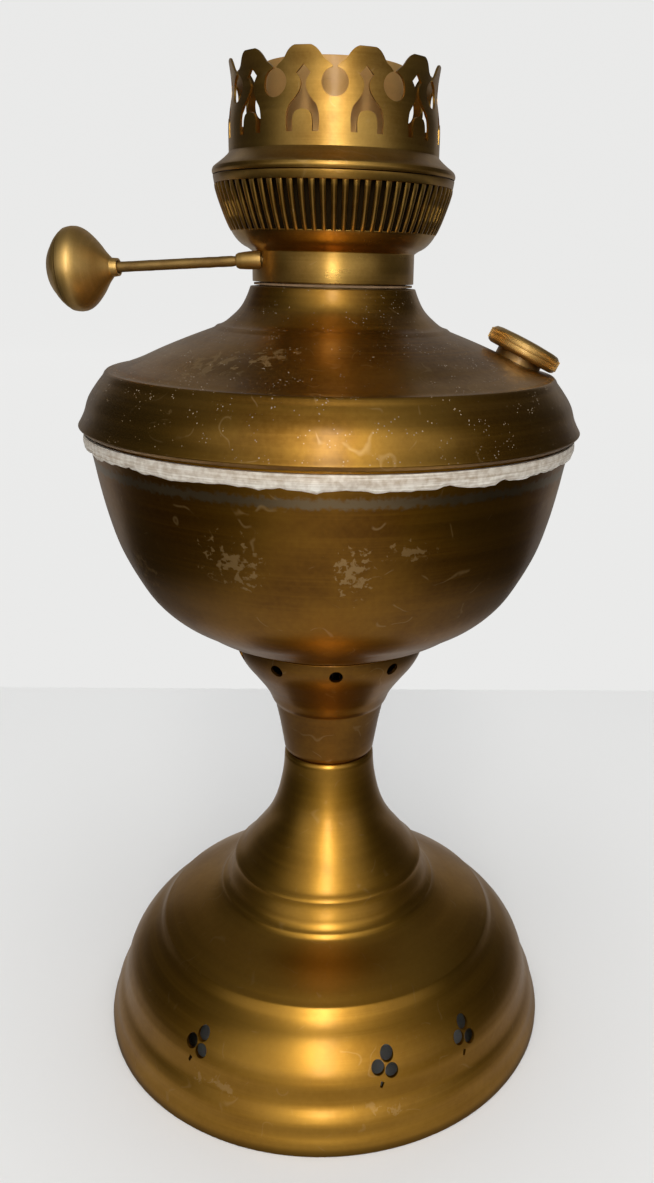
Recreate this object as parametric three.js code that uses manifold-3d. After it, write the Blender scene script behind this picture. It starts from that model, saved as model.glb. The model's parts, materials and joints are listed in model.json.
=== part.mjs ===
// A brass oil lamp with a round-wick burner, standing on its spun foot.
// Millimetres, +Z up. The origin is on the lamp's axis, at the plane that the foot rests on.
// Every piece is a separate closed mesh. Spun sheet-metal pieces are outlines [radius, height] turned round Z.

import * as THREE from "three";
import { mergeVertices } from "three/addons/utils/BufferGeometryUtils.js";
import Module from "manifold-3d";

const wasm = await Module();
wasm.setup();

// ---------------------------------------------------------------- driving sizes

const gap = 0.3; // between pieces that touch
const sheet = 0.8; // wall of the spun foot, stem and font
const burnerSheet = 0.5; // wall of the burner's thinner pieces
const round = 32; // facets of the large turned pieces
const smallRound = 16; // facets of the small ones

// Foot
const footRadius = 70;
const footHeight = 90; // from the table to the waist
const waistRadius = 13.6;
const lowerStepRadius = 33.2;
const upperStepRadius = 29;
const shoulderStepRadius = 51.8;
const clubHeight = 22.6;
const clubLobe = 1.9;
const clubSpread = 2.3;
const clubLean = 18; // degrees that a club leans over
const clubAngles = [-125.2, -74.7, -50.6, 54.8, 105.3, 129.4]; // degrees round Z: they are punched by hand

// Stem cup and tie rod
const cupHeight = 37.5;
const cupMouthRadius = 28.4;
const cupHoleCount = 10;
const cupHoleRadius = 1.9;
const rodRadius = 3;
const bossRadius = 7;
const bossHeight = 8;
const plateRadius = 21;
const plateThickness = 1.5;
const nutWidth = 10;
const nutHeight = 5;
const washerThickness = 1.6;

// Font
const rimRadius = 68.5;
const bowlHeight = 62.3; // from the bottom of the bowl to the rim
const bandHeight = 14.1; // from the rim to the crease
const creaseRadius = 59.7;
const shoulderRise = 11.2; // from the crease to the foot of the neck
const neckRadius = 22.1;
const neckHeight = 10.6;
const solderWidth = 4.4;
const solderThickness = 1;

// Filler
const fillerReach = 51.2; // from the lamp's axis to the filler's
const fillerTilt = 26; // degrees outwards
const fillerBore = 5.6;
const fillerWall = 1;
const capRadius = 10.6;
const capHeight = 4.8;
const fillerWasherThickness = 0.8;

// Burner
const burnerNeckRadius = 21.5;
const burnerNeckHeight = 8;
const basketRadius = 31.3;
const basketHeight = 17.5;
const slotCount = 72;
const slotWidth = 1.2;
const gasketThickness = 0.5;
const threadLength = 11;
const threadWall = 1;

// Wick tubes, and the wick between them
const wickTubeRadius = 18.2;
const wickThickness = 2.4;
const wickFit = 0.3;
const tubeTop = 279;
const wickDrop = 3; // of the wick's top edge below the tube's
const wickTail = 136;
const tubeFlat = 9.3; // from the axis to the flat front of the lower tube
const ductWidth = 9;
const ductHeight = 7;
const ductClimb = 20; // from the burner's foot to the middle of the air duct

// Winder
const winderYaw = -10.2; // degrees that the shaft is turned from square across
const winderOffset = 12.5; // from the lamp's axis to the shaft's
const winderDroop = 4; // degrees that the knob hangs down
const winderClimb = 5.3; // from the burner's foot to the shaft, at the neck
const shaftRadius = 1.2;
const shaftSleeve = 0.15; // extra radius outside the burner
const knobReach = 48.9; // from the neck to the knob's widest place
const knobRadius = 10.9;
const knobDome = 7.4;
const knobCone = 9.6;
const starRadius = 3.8;
const starTeeth = 8;
const starThickness = 1.6;
const starSpacing = 10;
const bushRadius = 2.3;
const runningFit = 0.08;

// Gallery
const galleryRadius = 27.1;
const galleryHeight = 26.5; // from the burner's rim to the prong tips
const galleryLip = 31.5;
const galleryWall = 0.6;
const prongCount = 11;
const prongHole = 3.15;
const seatBore = 19.6;
const seatThickness = 0.6;

// ---------------------------------------------------------------- worked out from the sizes

const deg = Math.PI / 180;
const cupFoot = footHeight + gap;
const bowlFoot = cupFoot + cupHeight + gap;
const rimZ = bowlFoot + bowlHeight;
const creaseZ = rimZ + bandHeight;
const neckFootZ = creaseZ + shoulderRise;
const neckTopZ = neckFootZ + neckHeight;
const gasketZ = neckTopZ + gap;
const burnerZ = gasketZ + gasketThickness + gap;
const basketTopZ = burnerZ + burnerNeckHeight + basketHeight;
const collarRadius = neckRadius - sheet - gap;
const collarWall = 1.1;
const threadRadius = collarRadius - collarWall - gap;
const galleryZ = basketTopZ + gap;
const prongTopZ = galleryZ + galleryHeight;
const deckZ = basketTopZ + 0.9;
const wickOuter = wickTubeRadius - burnerSheet - wickFit;
const wickInner = wickOuter - wickThickness;
const draftRadius = wickInner - wickFit;
const winderZ = burnerZ + winderClimb;

// ---------------------------------------------------------------- helpers

const brass = (name, color, roughness) => {
  const m = new THREE.MeshStandardMaterial({ color, roughness, metalness: 1 });
  m.name = name;
  return m;
};
const materials = {
  agedBrass: brass("aged_brass", 0x6b4a1c, 0.42),
  darkBrass: brass("dark_brass", 0x4d3312, 0.5),
  brightBrass: brass("bright_brass", 0x9a7128, 0.38),
  solder: brass("solder", 0x8d8a80, 0.6),
  steel: brass("steel", 0x7d7c78, 0.45),
  cork: new THREE.MeshStandardMaterial({ color: 0x8a6a45, roughness: 0.95 }),
  cotton: new THREE.MeshStandardMaterial({ color: 0xcfc3a2, roughness: 1 }),
};

// Signed area of an outline, positive when it runs anticlockwise in [radius, height].
function area(outline) {
  return outline.reduce((sum, [r, z], i) => {
    const [r2, z2] = outline[(i + 1) % outline.length];
    return sum + (r * z2 - r2 * z) / 2;
  }, 0);
}

// A closed outline turned round Z. It is closed on itself, or along the axis where it starts and ends there.
function turned(outline, facets = round) {
  const onAxis = outline[0][0] === 0 && outline.at(-1)[0] === 0;
  const path = area(outline) > 0 ? outline : [...outline].reverse();
  const points = path.map(([r, z]) => new THREE.Vector2(r, z));
  if (!onAxis) points.push(points[0].clone());
  return new THREE.LatheGeometry(points, facets).rotateX(Math.PI / 2);
}

// Points along a smooth curve through the given ones.
function curve(points, steps) {
  const spline = new THREE.SplineCurve(points.map((p) => new THREE.Vector2(...p)));
  return spline.getPoints(steps).map((p) => [p.x, p.y]);
}

// The outline of a sheet whose outer face runs from foot to top, with its wall on the left of that run.
function walled(outer, wall) {
  const inner = outer.map(([r, z], i) => {
    const [r0, z0] = outer[Math.max(i - 1, 0)];
    const [r1, z1] = outer[Math.min(i + 1, outer.length - 1)];
    const before = Math.atan2(z - z0, r - r0);
    const after = Math.atan2(z1 - z, r1 - r);
    const first = i === 0 ? after : before;
    const last = i === outer.length - 1 ? before : after;
    let bend = last - first;
    if (bend > Math.PI) bend -= 2 * Math.PI;
    if (bend < -Math.PI) bend += 2 * Math.PI;
    const normal = first + bend / 2 + Math.PI / 2;
    const reach = wall / Math.max(Math.cos(bend / 2), 0.6);
    return [r + reach * Math.cos(normal), z + reach * Math.sin(normal)];
  });
  return [...outer, ...inner.reverse()];
}

const ring = (inner, outer, foot, top, facets = round) =>
  turned([[inner, foot], [outer, foot], [outer, top], [inner, top]], facets);

const disc = (radius, foot, top, facets = smallRound) =>
  turned([[0, foot], [radius, foot], [radius, top], [0, top]], facets);

// A solid for cutting and joining, from a closed geometry.
function solid(geometry) {
  const bare = new THREE.BufferGeometry();
  bare.setAttribute("position", geometry.getAttribute("position"));
  if (geometry.index) bare.setIndex(geometry.index);
  const merged = mergeVertices(bare, 1e-4);
  return new wasm.Manifold(
    new wasm.Mesh({
      numProp: 3,
      vertProperties: merged.getAttribute("position").array,
      triVerts: new Uint32Array(merged.index.array),
    }),
  );
}

function geometry(made) {
  const mesh = made.getMesh();
  const out = new THREE.BufferGeometry();
  out.setAttribute("position", new THREE.BufferAttribute(new Float32Array(mesh.vertProperties), 3));
  out.setIndex(new THREE.BufferAttribute(new Uint32Array(mesh.triVerts), 1));
  out.computeVertexNormals();
  return out;
}

const cut = (body, cutters) =>
  geometry(cutters.reduce((left, cutter) => left.subtract(solid(cutter)), solid(body)));

const join = (pieces) =>
  geometry(pieces.slice(1).reduce((sum, piece) => sum.add(solid(piece)), solid(pieces[0])));

// A flat shape [across, up] made into a bar that runs outwards along +X between two radii.
function outwards(points, near, far) {
  const shape = new THREE.Shape(points.map((p) => new THREE.Vector2(...p)));
  const bar = new THREE.ExtrudeGeometry(shape, { depth: far - near, bevelEnabled: false, curveSegments: 4 });
  const stand = new THREE.Matrix4().makeBasis(
    new THREE.Vector3(0, 1, 0),
    new THREE.Vector3(0, 0, 1),
    new THREE.Vector3(1, 0, 0),
  );
  return bar.applyMatrix4(stand).translate(near, 0, 0);
}

const circlePoints = (radius, up, facets, across = 0) =>
  Array.from({ length: facets }, (_, i) => {
    const a = ((i + 0.5) / facets) * 2 * Math.PI;
    return [across + radius * Math.cos(a), up + radius * Math.sin(a)];
  });

// A plate of the given outline, with a round bore, from foot to top.
function bored(points, bore, foot, top) {
  const shape = new THREE.Shape(points.map((p) => new THREE.Vector2(...p)));
  shape.holes.push(new THREE.Path(circlePoints(bore, 0, 12).map((p) => new THREE.Vector2(...p))));
  return new THREE.ExtrudeGeometry(shape, { depth: top - foot, bevelEnabled: false }).translate(0, 0, foot);
}

const around = (count, make, start = 0) =>
  Array.from({ length: count }, (_, i) => make().rotateZ(start + (i / count) * 2 * Math.PI));

const group = new THREE.Group();

function add(name, shape, material, parent = group) {
  const mesh = new THREE.Mesh(shape, material);
  mesh.name = name;
  parent.add(mesh);
  return mesh;
}

// ---------------------------------------------------------------- foot and stem

// The foot's outer face, from the table to the waist.
function footOutline() {
  return [
    [footRadius, 0],
    [footRadius, 2.2],
    [68.2, 8.6],
    [66, 13],
    [64.5, 18.5],
    [61, 25],
    [55.3, 30.6],
    [shoulderStepRadius, 34.8],
    [lowerStepRadius, 45.2],
    [upperStepRadius, 53.7],
    [24.4, 59.5],
    [18.6, 67.8],
    [15, 78.3],
    [waistRadius, footHeight],
  ];
}

// A three-lobed club with its stem, as a bar that pierces the skirt outwards along +X.
function club() {
  const lobes = [90, 210, 330].map((a) =>
    circlePoints(clubLobe, clubSpread * Math.sin(a * deg), 6, clubSpread * Math.cos(a * deg)),
  );
  const stem = [
    [-0.5, -5.8],
    [0.5, -5.8],
    [0.5, -4.2],
    [-0.5, -4.2],
  ];
  return [...lobes, stem].map((points) =>
    outwards(points, footRadius - 22, footRadius + 2)
      .rotateX(-clubLean * deg)
      .translate(0, 0, clubHeight),
  );
}

const foot = turned(walled(footOutline(), sheet));
const clubs = clubAngles.flatMap((a) => club().map((bar) => bar.rotateZ(a * deg)));
add("base_shell", cut(foot, clubs), materials.agedBrass);

// The cup's spigot sits in the foot's mouth, and its ledge rests on the foot's top edge.
const spigotRadius = waistRadius - sheet - gap;
const cupTopZ = cupFoot + cupHeight;
const cupOutline = [
  [spigotRadius, footHeight - 5],
  [spigotRadius, cupFoot],
  [waistRadius, cupFoot],
  [15.4, cupFoot + 10.8],
  [17.1, cupFoot + 17.3],
  [22.7, cupFoot + 26.1],
  [27.6, cupFoot + 34],
  [cupMouthRadius, cupTopZ],
];
const cupHoles = around(
  cupHoleCount,
  () => {
    const bar = outwards(circlePoints(cupHoleRadius, 0, 8), -5, 5);
    return bar.rotateY(30 * deg).translate(27.4, 0, cupFoot + 34);
  },
  -86.3 * deg,
);
add("stem_cup", cut(turned(walled(cupOutline, sheet)), cupHoles), materials.agedBrass);

const bossFoot = bowlFoot - gap - bossHeight;
add("font_boss", ring(rodRadius + gap, bossRadius, bossFoot, bowlFoot - gap, smallRound), materials.agedBrass);

const plateZ = 59;
const washerZ = plateZ - gap - washerThickness;
const nutZ = washerZ - gap - nutHeight;
const rodFoot = nutZ - 4;
const rodTop = bowlFoot - gap - 1;
add("tie_rod", disc(rodRadius, rodFoot, rodTop, 16), materials.steel);
add("clamp_plate", ring(rodRadius + gap, plateRadius, plateZ, plateZ + plateThickness, smallRound), materials.steel);
add("lock_washer", ring(rodRadius + gap, rodRadius + 3, washerZ, washerZ + washerThickness, smallRound), materials.steel);
const nutRadius = nutWidth / 2 / Math.cos(Math.PI / 6);
add("tie_nut", bored(circlePoints(nutRadius, 0, 6), rodRadius + gap, nutZ, nutZ + nutHeight), materials.steel);

// ---------------------------------------------------------------- font

// Bowl, shut at the bottom. Its lip stands inside the shoulder's rim.
const lipRadius = rimRadius - sheet - 1.7;
const bowlOuter = [
  [0, bowlFoot],
  [cupMouthRadius, bowlFoot],
  [37.1, bowlFoot + 3.9],
  [45.9, bowlFoot + 9.4],
  [51.4, bowlFoot + 15],
  [55.8, bowlFoot + 22.2],
  [59.6, bowlFoot + 30.4],
  [63.9, bowlFoot + 46.9],
  [lipRadius, rimZ - 4.5],
  [lipRadius, rimZ + 0.6],
];
const bowlOutline = walled(bowlOuter, sheet);
bowlOutline[bowlOutline.length - 1][0] = 0;
add("font_bowl", turned(bowlOutline), materials.darkBrass);

add(
  "rim_solder",
  turned([
    [lipRadius + gap, rimZ - 1.7 - solderWidth],
    [lipRadius + gap + solderThickness * 0.6, rimZ - 1.7 - solderWidth * 0.8],
    [lipRadius + gap + solderThickness, rimZ - 1.9],
    [lipRadius + gap, rimZ - 1.9],
  ]),
  materials.solder,
);

// The shoulder's outer face, from under the rim to the mouth.
const shoulderOuter = [
  [rimRadius - sheet - 0.6, rimZ - 1.2],
  [rimRadius, rimZ],
  [66.8, rimZ + 3.2],
  [65.6, rimZ + 6.8],
  [63.3, rimZ + 10.4],
  [creaseRadius + 1, creaseZ - 0.6],
  [creaseRadius, creaseZ],
  [39.1, creaseZ + shoulderRise * 0.73],
  [30.9, neckFootZ],
  [27.3, neckFootZ + 2.6],
  [24, neckFootZ + 6.2],
  [neckRadius, neckTopZ],
];
// The filler's own frame: origin where its axis crosses the shoulder, +Z outwards along that axis.
const slope = (shoulderRise * 0.73) / (creaseRadius - 39.1);
const fillerSeat = new THREE.Matrix4()
  .makeRotationY(fillerTilt * deg)
  .setPosition(fillerReach, 0, creaseZ + (creaseRadius - fillerReach) * slope);
const neckTube = fillerBore + fillerWall;
const shoulder = turned(walled(shoulderOuter, sheet));
add(
  "font_shoulder",
  cut(shoulder, [disc(neckTube + gap, -4, 5, 16).applyMatrix4(fillerSeat)]),
  materials.darkBrass,
);

add(
  "font_collar",
  ring(collarRadius - collarWall, collarRadius, neckTopZ - 12.4, neckTopZ),
  materials.darkBrass,
);

const filler = new THREE.Group();
filler.applyMatrix4(fillerSeat);
group.add(filler);
const fillerMouth = 3.4;
add("filler_neck", ring(fillerBore, neckTube, -5, fillerMouth, 16), materials.agedBrass, filler);
const washerFoot = fillerMouth + gap;
const capTop = washerFoot + fillerWasherThickness + gap + 1.2;
const capFoot = capTop - capHeight;
add(
  "filler_washer",
  ring(fillerBore, neckTube + 1, washerFoot, washerFoot + fillerWasherThickness, 16),
  materials.cork,
  filler,
);
add(
  "filler_cap",
  turned(
    [
      [0, washerFoot + fillerWasherThickness + gap],
      [neckTube + 1 + gap, washerFoot + fillerWasherThickness + gap],
      [neckTube + 1 + gap, washerFoot],
      [neckTube + gap, washerFoot - gap],
      [neckTube + gap, capFoot],
      [capRadius - 0.6, capFoot],
      [capRadius, capFoot + 0.8],
      [capRadius, capTop - 1.2],
      [capRadius - 1.1, capTop - 0.2],
      [0, capTop + 0.3],
    ],
    smallRound,
  ),
  materials.brightBrass,
  filler,
);

// ---------------------------------------------------------------- burner

add(
  "burner_gasket",
  ring(collarRadius - collarWall + gap, burnerNeckRadius - gap, gasketZ, gasketZ + gasketThickness),
  materials.cork,
);

// The male thread hangs in the collar. Its head is held in the burner's neck.
const threadHead = burnerZ + 2;
add(
  "burner_thread",
  turned([
    [threadRadius - threadWall, burnerZ - threadLength],
    [threadRadius, burnerZ - threadLength],
    [threadRadius, burnerZ + gap],
    [burnerNeckRadius - burnerSheet - gap, burnerZ + gap],
    [burnerNeckRadius - burnerSheet - gap, threadHead],
    [threadRadius - threadWall, threadHead],
  ]),
  materials.brightBrass,
);

// Everything about the winder and the wick channel is set out square, then turned round Z together.
const channel = new THREE.Group();
channel.rotation.z = winderYaw * deg;
group.add(channel);

// The shaft's own frame: +Z runs out of the neck to the knob, from where its axis crosses the neck's wall.
const neckCrossing = Math.sqrt(burnerNeckRadius ** 2 - winderOffset ** 2);
const shaftFrame = new THREE.Matrix4()
  .makeRotationY((-90 - winderDroop) * deg)
  .setPosition(-neckCrossing, -winderOffset, winderZ);

const shelf = burnerZ + burnerNeckHeight;
const basketOuter = [
  [burnerNeckRadius, burnerZ],
  [burnerNeckRadius, shelf],
  [24, shelf + 1],
  [26.4, shelf + 3.6],
  [basketRadius - 0.3, basketTopZ - 1.4],
  [basketRadius, basketTopZ],
];
const slotFoot = shelf + 5;
const slotTop = basketTopZ - 2;
const slotStart = Math.PI / slotCount; // no slot lies across an edge between two facets
const slots = around(
  slotCount,
  () =>
    outwards(
      [
        [-slotWidth / 2, slotFoot],
        [slotWidth / 2, slotFoot],
        [slotWidth / 2, slotTop],
        [-slotWidth / 2, slotTop],
      ],
      burnerNeckRadius,
      basketRadius + 2,
    ),
  slotStart,
);
const bushHole = disc(bushRadius + 0.1, -8, 8, 12).applyMatrix4(shaftFrame).rotateZ(winderYaw * deg);
add(
  "burner_basket",
  cut(turned(walled(basketOuter, burnerSheet), slotCount / 2), [...slots, bushHole]),
  materials.brightBrass,
);

const deckHoles = around(12, () => disc(1.6, deckZ - 2, deckZ + 2, 6).translate(25.4, 0, 0));
add(
  "burner_deck",
  cut(ring(wickTubeRadius + gap, galleryLip - 1.4, deckZ, deckZ + burnerSheet), deckHoles),
  materials.brightBrass,
);

// A tube round Z whose front is flat, at the given distance from the axis, below the bend, and round above it.
// Each level is [height, outer radius, outer flat, inner radius, inner flat].
const bendFoot = shelf + 6;
const bendTop = bendFoot + 11;
function ringAt(radius, flat, z, facets) {
  return Array.from({ length: facets }, (_, i) => {
    const a = (i / facets) * 2 * Math.PI;
    return new THREE.Vector3(radius * Math.cos(a), Math.max(radius * Math.sin(a), -flat), z);
  });
}

function flatFrontTube(outerRadius, outerFlat, wall, foot, top, facets = 24) {
  const levels = [foot, bendFoot, bendTop, top];
  const share = (z) => (z < bendTop ? 0 : 1);
  const skin = (inset) =>
    levels.map((z) => {
      const radius = outerRadius - inset;
      return ringAt(radius, THREE.MathUtils.lerp(outerFlat - inset, radius, share(z)), z, facets);
    });
  const rows = [...skin(0), ...skin(wall).reverse()];
  const positions = rows.flat().flatMap((p) => [p.x, p.y, p.z]);
  const index = [];
  rows.forEach((_, row) => {
    const next = (row + 1) % rows.length;
    for (let i = 0; i < facets; i++) {
      const j = (i + 1) % facets;
      const [a, b, c, d] = [row * facets + i, row * facets + j, next * facets + j, next * facets + i];
      // The two skins are split along the same diagonal, so that the wall stays even round the bend.
      if (row < levels.length) index.push(a, b, c, a, c, d);
      else index.push(a, b, d, b, c, d);
    }
  });
  const out = new THREE.BufferGeometry();
  out.setAttribute("position", new THREE.BufferAttribute(new Float32Array(positions), 3));
  out.setIndex(index);
  return out;
}

const box = (x, y, z, w, d, h) => new THREE.BoxGeometry(w, d, h).translate(x, y, z);

const shaftZAt = (x) => winderZ + (x + neckCrossing) * Math.tan(winderDroop * deg);
const starPlaces = [-starSpacing / 2, starSpacing / 2];
const tubeFoot = burnerZ - threadLength;
const ductZ = burnerZ + ductClimb;
const tubeSlots = starPlaces.map((x) =>
  box(x, -tubeFlat, shaftZAt(x), starThickness + 1, 3, 2 * starRadius + 1.2),
);
const window = (clear) =>
  box(0, wickTubeRadius, ductZ, ductWidth + 2 * clear, 2 * wickTubeRadius - 8, ductHeight + 2 * clear);
add(
  "outer_wick_tube",
  cut(flatFrontTube(wickTubeRadius, tubeFlat, burnerSheet, tubeFoot, tubeTop), [...tubeSlots, window(gap)]),
  materials.brightBrass,
  channel,
);

const wickFlat = tubeFlat - burnerSheet - 0.2;
const draftFlat = wickFlat - wickThickness - wickFit;
const draftFoot = burnerZ + 9;
const draftTube = flatFrontTube(draftRadius, draftFlat, burnerSheet, draftFoot, tubeTop - 1.5);
const floorEdge = ringAt(draftRadius - 0.1, draftFlat - 0.1, 0, 24);
const floorShape = new THREE.Shape(floorEdge.map((p) => new THREE.Vector2(p.x, p.y)));
const draftFloor = new THREE.ExtrudeGeometry(floorShape, { depth: 0.6, bevelEnabled: false }).translate(0, 0, draftFoot);
add(
  "draft_tube",
  cut(join([draftTube, draftFloor]), [window(gap)]),
  materials.brightBrass,
  channel,
);

const ductNear = Math.sqrt(draftRadius ** 2 - (ductWidth / 2) ** 2) - 1.4;
const ductFar = wickTubeRadius + 0.6;
const ductOuter = box(0, (ductNear + ductFar) / 2, ductZ, ductWidth, ductFar - ductNear, ductHeight);
const ductInner = box(0, (ductNear + ductFar) / 2, ductZ, ductWidth - 1, ductFar, ductHeight - 1);
add("air_duct", cut(ductOuter, [ductInner]), materials.brightBrass, channel);

// The wick is open at the back as high as the duct needs it over its whole travel.
const wickTop = tubeTop - wickDrop;
const slitTop = ductZ + 15;
const wickSlit = box(
  0,
  wickTubeRadius,
  (wickTail - 2 + slitTop) / 2,
  ductWidth + 2,
  2 * wickTubeRadius - 8,
  slitTop - wickTail + 2,
);
add(
  "wick",
  cut(flatFrontTube(wickOuter, wickFlat, wickThickness, wickTail, wickTop), [wickSlit]),
  materials.cotton,
  channel,
);

// ---------------------------------------------------------------- winder

const winder = new THREE.Group();
winder.applyMatrix4(shaftFrame);
channel.add(winder);

// Distances along the shaft, outwards from the neck.
const bushOut = 5.6;
const bushIn = -1.2;
const shaftEnd = knobReach - knobCone - 1;
const along = (x) => -(x + neckCrossing) / Math.cos(winderDroop * deg);
const shaftTip = along(starSpacing / 2 + 5.2);
add(
  "winder_bush",
  turned(
    [
      [shaftRadius + runningFit, bushIn],
      [bushRadius, bushIn],
      [bushRadius, bushOut - 0.8],
      [bushRadius - 0.6, bushOut],
      [shaftRadius + runningFit, bushOut],
    ],
    12,
  ),
  materials.brightBrass,
  winder,
);
add(
  "winder_shaft",
  turned(
    [
      [0, shaftTip],
      [shaftRadius, shaftTip],
      [shaftRadius, bushOut + gap],
      [shaftRadius + shaftSleeve, bushOut + 1.4],
      [shaftRadius + shaftSleeve, shaftEnd],
      [shaftRadius, shaftEnd],
      [shaftRadius, knobReach + 2],
      [0, knobReach + 2],
    ],
    12,
  ),
  materials.agedBrass,
  winder,
);

// A star wheel, centred on the shaft.
function starWheel(place) {
  const teeth = Array.from({ length: starTeeth * 2 }, (_, i) => {
    const radius = i % 2 ? starRadius * 0.72 : starRadius;
    const a = (i / (starTeeth * 2)) * 2 * Math.PI;
    return [radius * Math.cos(a), radius * Math.sin(a)];
  });
  return bored(teeth, shaftRadius + gap, place - starThickness / 2, place + starThickness / 2);
}
starPlaces.forEach((x, i) =>
  add("star_wheel_" + (i + 1), starWheel(along(x)), materials.agedBrass, winder),
);

// The shaft's far end turns in a small lug on the flat of the tube.
const lugX = starSpacing / 2 + 3.6;
const lugDepth = winderOffset - tubeFlat - gap + 2.2;
const lug = box(lugX, -(tubeFlat + gap + lugDepth / 2), shaftZAt(lugX), 1.6, lugDepth, 5);
const lugBore = disc(shaftRadius + runningFit, shaftTip - 4, shaftTip + 8, 12).applyMatrix4(shaftFrame);
add("shaft_lug", cut(lug, [lugBore]), materials.brightBrass, channel);

// Knob: a cone-backed cup, and the domed face that is crimped into it.
const knobWall = 0.6;
const collarOuter = shaftRadius + shaftSleeve + gap + knobWall;
const knobBack = walled(
  [
    [collarOuter, knobReach - knobCone - 1.8],
    [collarOuter + 0.2, knobReach - knobCone],
    [4.6, knobReach - 7.6],
    [7.8, knobReach - 5],
    [10, knobReach - 2.6],
    [knobRadius, knobReach],
    [knobRadius - 0.3, knobReach + 1.8],
  ],
  knobWall,
);
add("knob_back", turned(knobBack, smallRound), materials.brightBrass, winder);
add(
  "knob_face",
  turned(
    [
      [shaftRadius + gap, knobReach + 0.6],
      [knobRadius - knobWall - 1.2, knobReach + 0.6],
      [knobRadius - knobWall - 1, knobReach + 2.1],
      [knobRadius - 0.7, knobReach + 2.1],
      [knobRadius - 1.8, knobReach + 3.6],
      [5.6, knobReach + 6.2],
      [0, knobReach + knobDome],
      [0, knobReach + 2 + gap],
      [shaftRadius + gap, knobReach + 2 + gap],
    ],
    smallRound,
  ),
  materials.brightBrass,
  winder,
);

// ---------------------------------------------------------------- gallery

const wallFoot = galleryZ + 5.3;
const holeZ = prongTopZ - 7.7;
const galleryOuter = [
  [galleryLip - 0.2, galleryZ],
  [galleryLip, galleryZ + 1],
  [30.7, galleryZ + 2.2],
  [28.6, galleryZ + 3.8],
  [galleryRadius, wallFoot],
  [galleryRadius, wallFoot + 7.1],
  [galleryRadius - 1.1, holeZ],
  [galleryRadius - 0.5, prongTopZ],
];
// What is cut away at the front of one repeat: the notch between two prongs, down to the round hole.
const repeat = (2 * Math.PI * galleryRadius) / prongCount;
const notchHalf = [
  [0.5, 2],
  [0.5, 3.4],
  [2.4, 4.7],
  [3.4, 6.1],
  [4.4, 7.1],
  [repeat / 2 - 1.8, 7.7],
  [repeat / 2 - 1.8, 10],
];
// The forked opening in the middle of a prong, round an arched tongue.
const forkHalf = [
  [1.75, 1.9],
  [0.65, 0.3],
  [0.75, -1.5],
  [3.8, -5.9],
  [3.9, -10.6],
  [2.4, -10.6],
  [2.2, -7],
];
const mirrored = (half, side) => half.map(([across, up]) => [side * across, holeZ + up]);
const notch = [...mirrored(notchHalf, 1), ...mirrored(notchHalf, -1).reverse()];
const fork = [[0, holeZ + 3.7], ...mirrored(forkHalf, -1), [0, holeZ - 5.8], ...mirrored(forkHalf, 1).reverse()];
const crownNear = galleryRadius - 6;
const crownFar = galleryRadius + 3;
const front = -90 * deg;
const crownCuts = [
  ...around(prongCount, () => outwards(circlePoints(prongHole, holeZ, 8), crownNear, crownFar), front),
  ...around(prongCount, () => outwards(notch, crownNear, crownFar), front),
  ...around(prongCount, () => outwards(fork, crownNear, crownFar), front + Math.PI / prongCount),
];
add("gallery", cut(turned(walled(galleryOuter, galleryWall), 44), crownCuts), materials.brightBrass);

const seatZ = wallFoot + 0.6;
const seatHoles = around(11, () => disc(1.1, seatZ - 2, seatZ + 2, 6).translate(seatBore + 2.2, 0, 0));
add(
  "chimney_seat",
  cut(ring(seatBore, galleryRadius - galleryWall - gap, seatZ, seatZ + seatThickness), seatHoles),
  materials.brightBrass,
);

export default group;
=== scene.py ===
"""An aged brass oil lamp with a round-wick burner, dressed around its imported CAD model.

Sizes are in millimetres in the lamp's own frame, which has +Z up and its origin under the lamp's axis.
"""

import json
import logging
import math
from collections.abc import Callable, Sequence
from dataclasses import dataclass
from enum import Enum

import bmesh
import bpy
from mathutils import Matrix, Vector, noise


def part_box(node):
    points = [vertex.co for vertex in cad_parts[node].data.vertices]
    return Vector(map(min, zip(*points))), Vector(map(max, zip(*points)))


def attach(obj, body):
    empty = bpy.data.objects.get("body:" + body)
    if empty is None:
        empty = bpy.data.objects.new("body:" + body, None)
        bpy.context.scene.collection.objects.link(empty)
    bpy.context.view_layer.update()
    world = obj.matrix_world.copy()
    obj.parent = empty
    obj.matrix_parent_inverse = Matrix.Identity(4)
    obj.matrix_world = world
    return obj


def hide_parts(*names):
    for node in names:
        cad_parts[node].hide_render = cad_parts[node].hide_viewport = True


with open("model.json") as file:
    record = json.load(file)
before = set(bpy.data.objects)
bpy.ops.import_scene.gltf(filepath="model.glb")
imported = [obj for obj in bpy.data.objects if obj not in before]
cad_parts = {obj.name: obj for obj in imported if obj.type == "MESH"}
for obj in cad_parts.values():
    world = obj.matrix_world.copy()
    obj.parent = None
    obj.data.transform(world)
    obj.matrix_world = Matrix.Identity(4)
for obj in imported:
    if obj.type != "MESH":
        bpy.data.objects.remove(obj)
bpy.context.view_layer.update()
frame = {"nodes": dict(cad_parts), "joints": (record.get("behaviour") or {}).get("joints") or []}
LOG = logging.getLogger("lamp")

Point = tuple[float, float]
Wobble = Callable[[float, float, float], Point]

MM = 0.001
PITCH = 0.9  # between the points of a turned outline
TURNED_FACETS = 160
SMALL_FACETS = 72
EASE = 0.28  # taken off a corner of sheet metal
CORNER = math.radians(24)  # a sharper turn than this is a corner
SHARP = math.radians(38)
TAU = 2 * math.pi
THREAD_STEPS, THREAD_SIDES = 48, 6
RUBBED = (0.66, 0.44, 0.19)
DUSTY = (0.52, 0.45, 0.36)
SOOT = (0.012, 0.010, 0.008)


class Body(Enum):
    """The CAD bodies that pieces ride on."""

    ROOT = "root"
    BURNER = "burner"
    WINDER = "winder"
    WICK = "wick"
    GALLERY = "gallery"
    CAP = "filler_cap"


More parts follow.
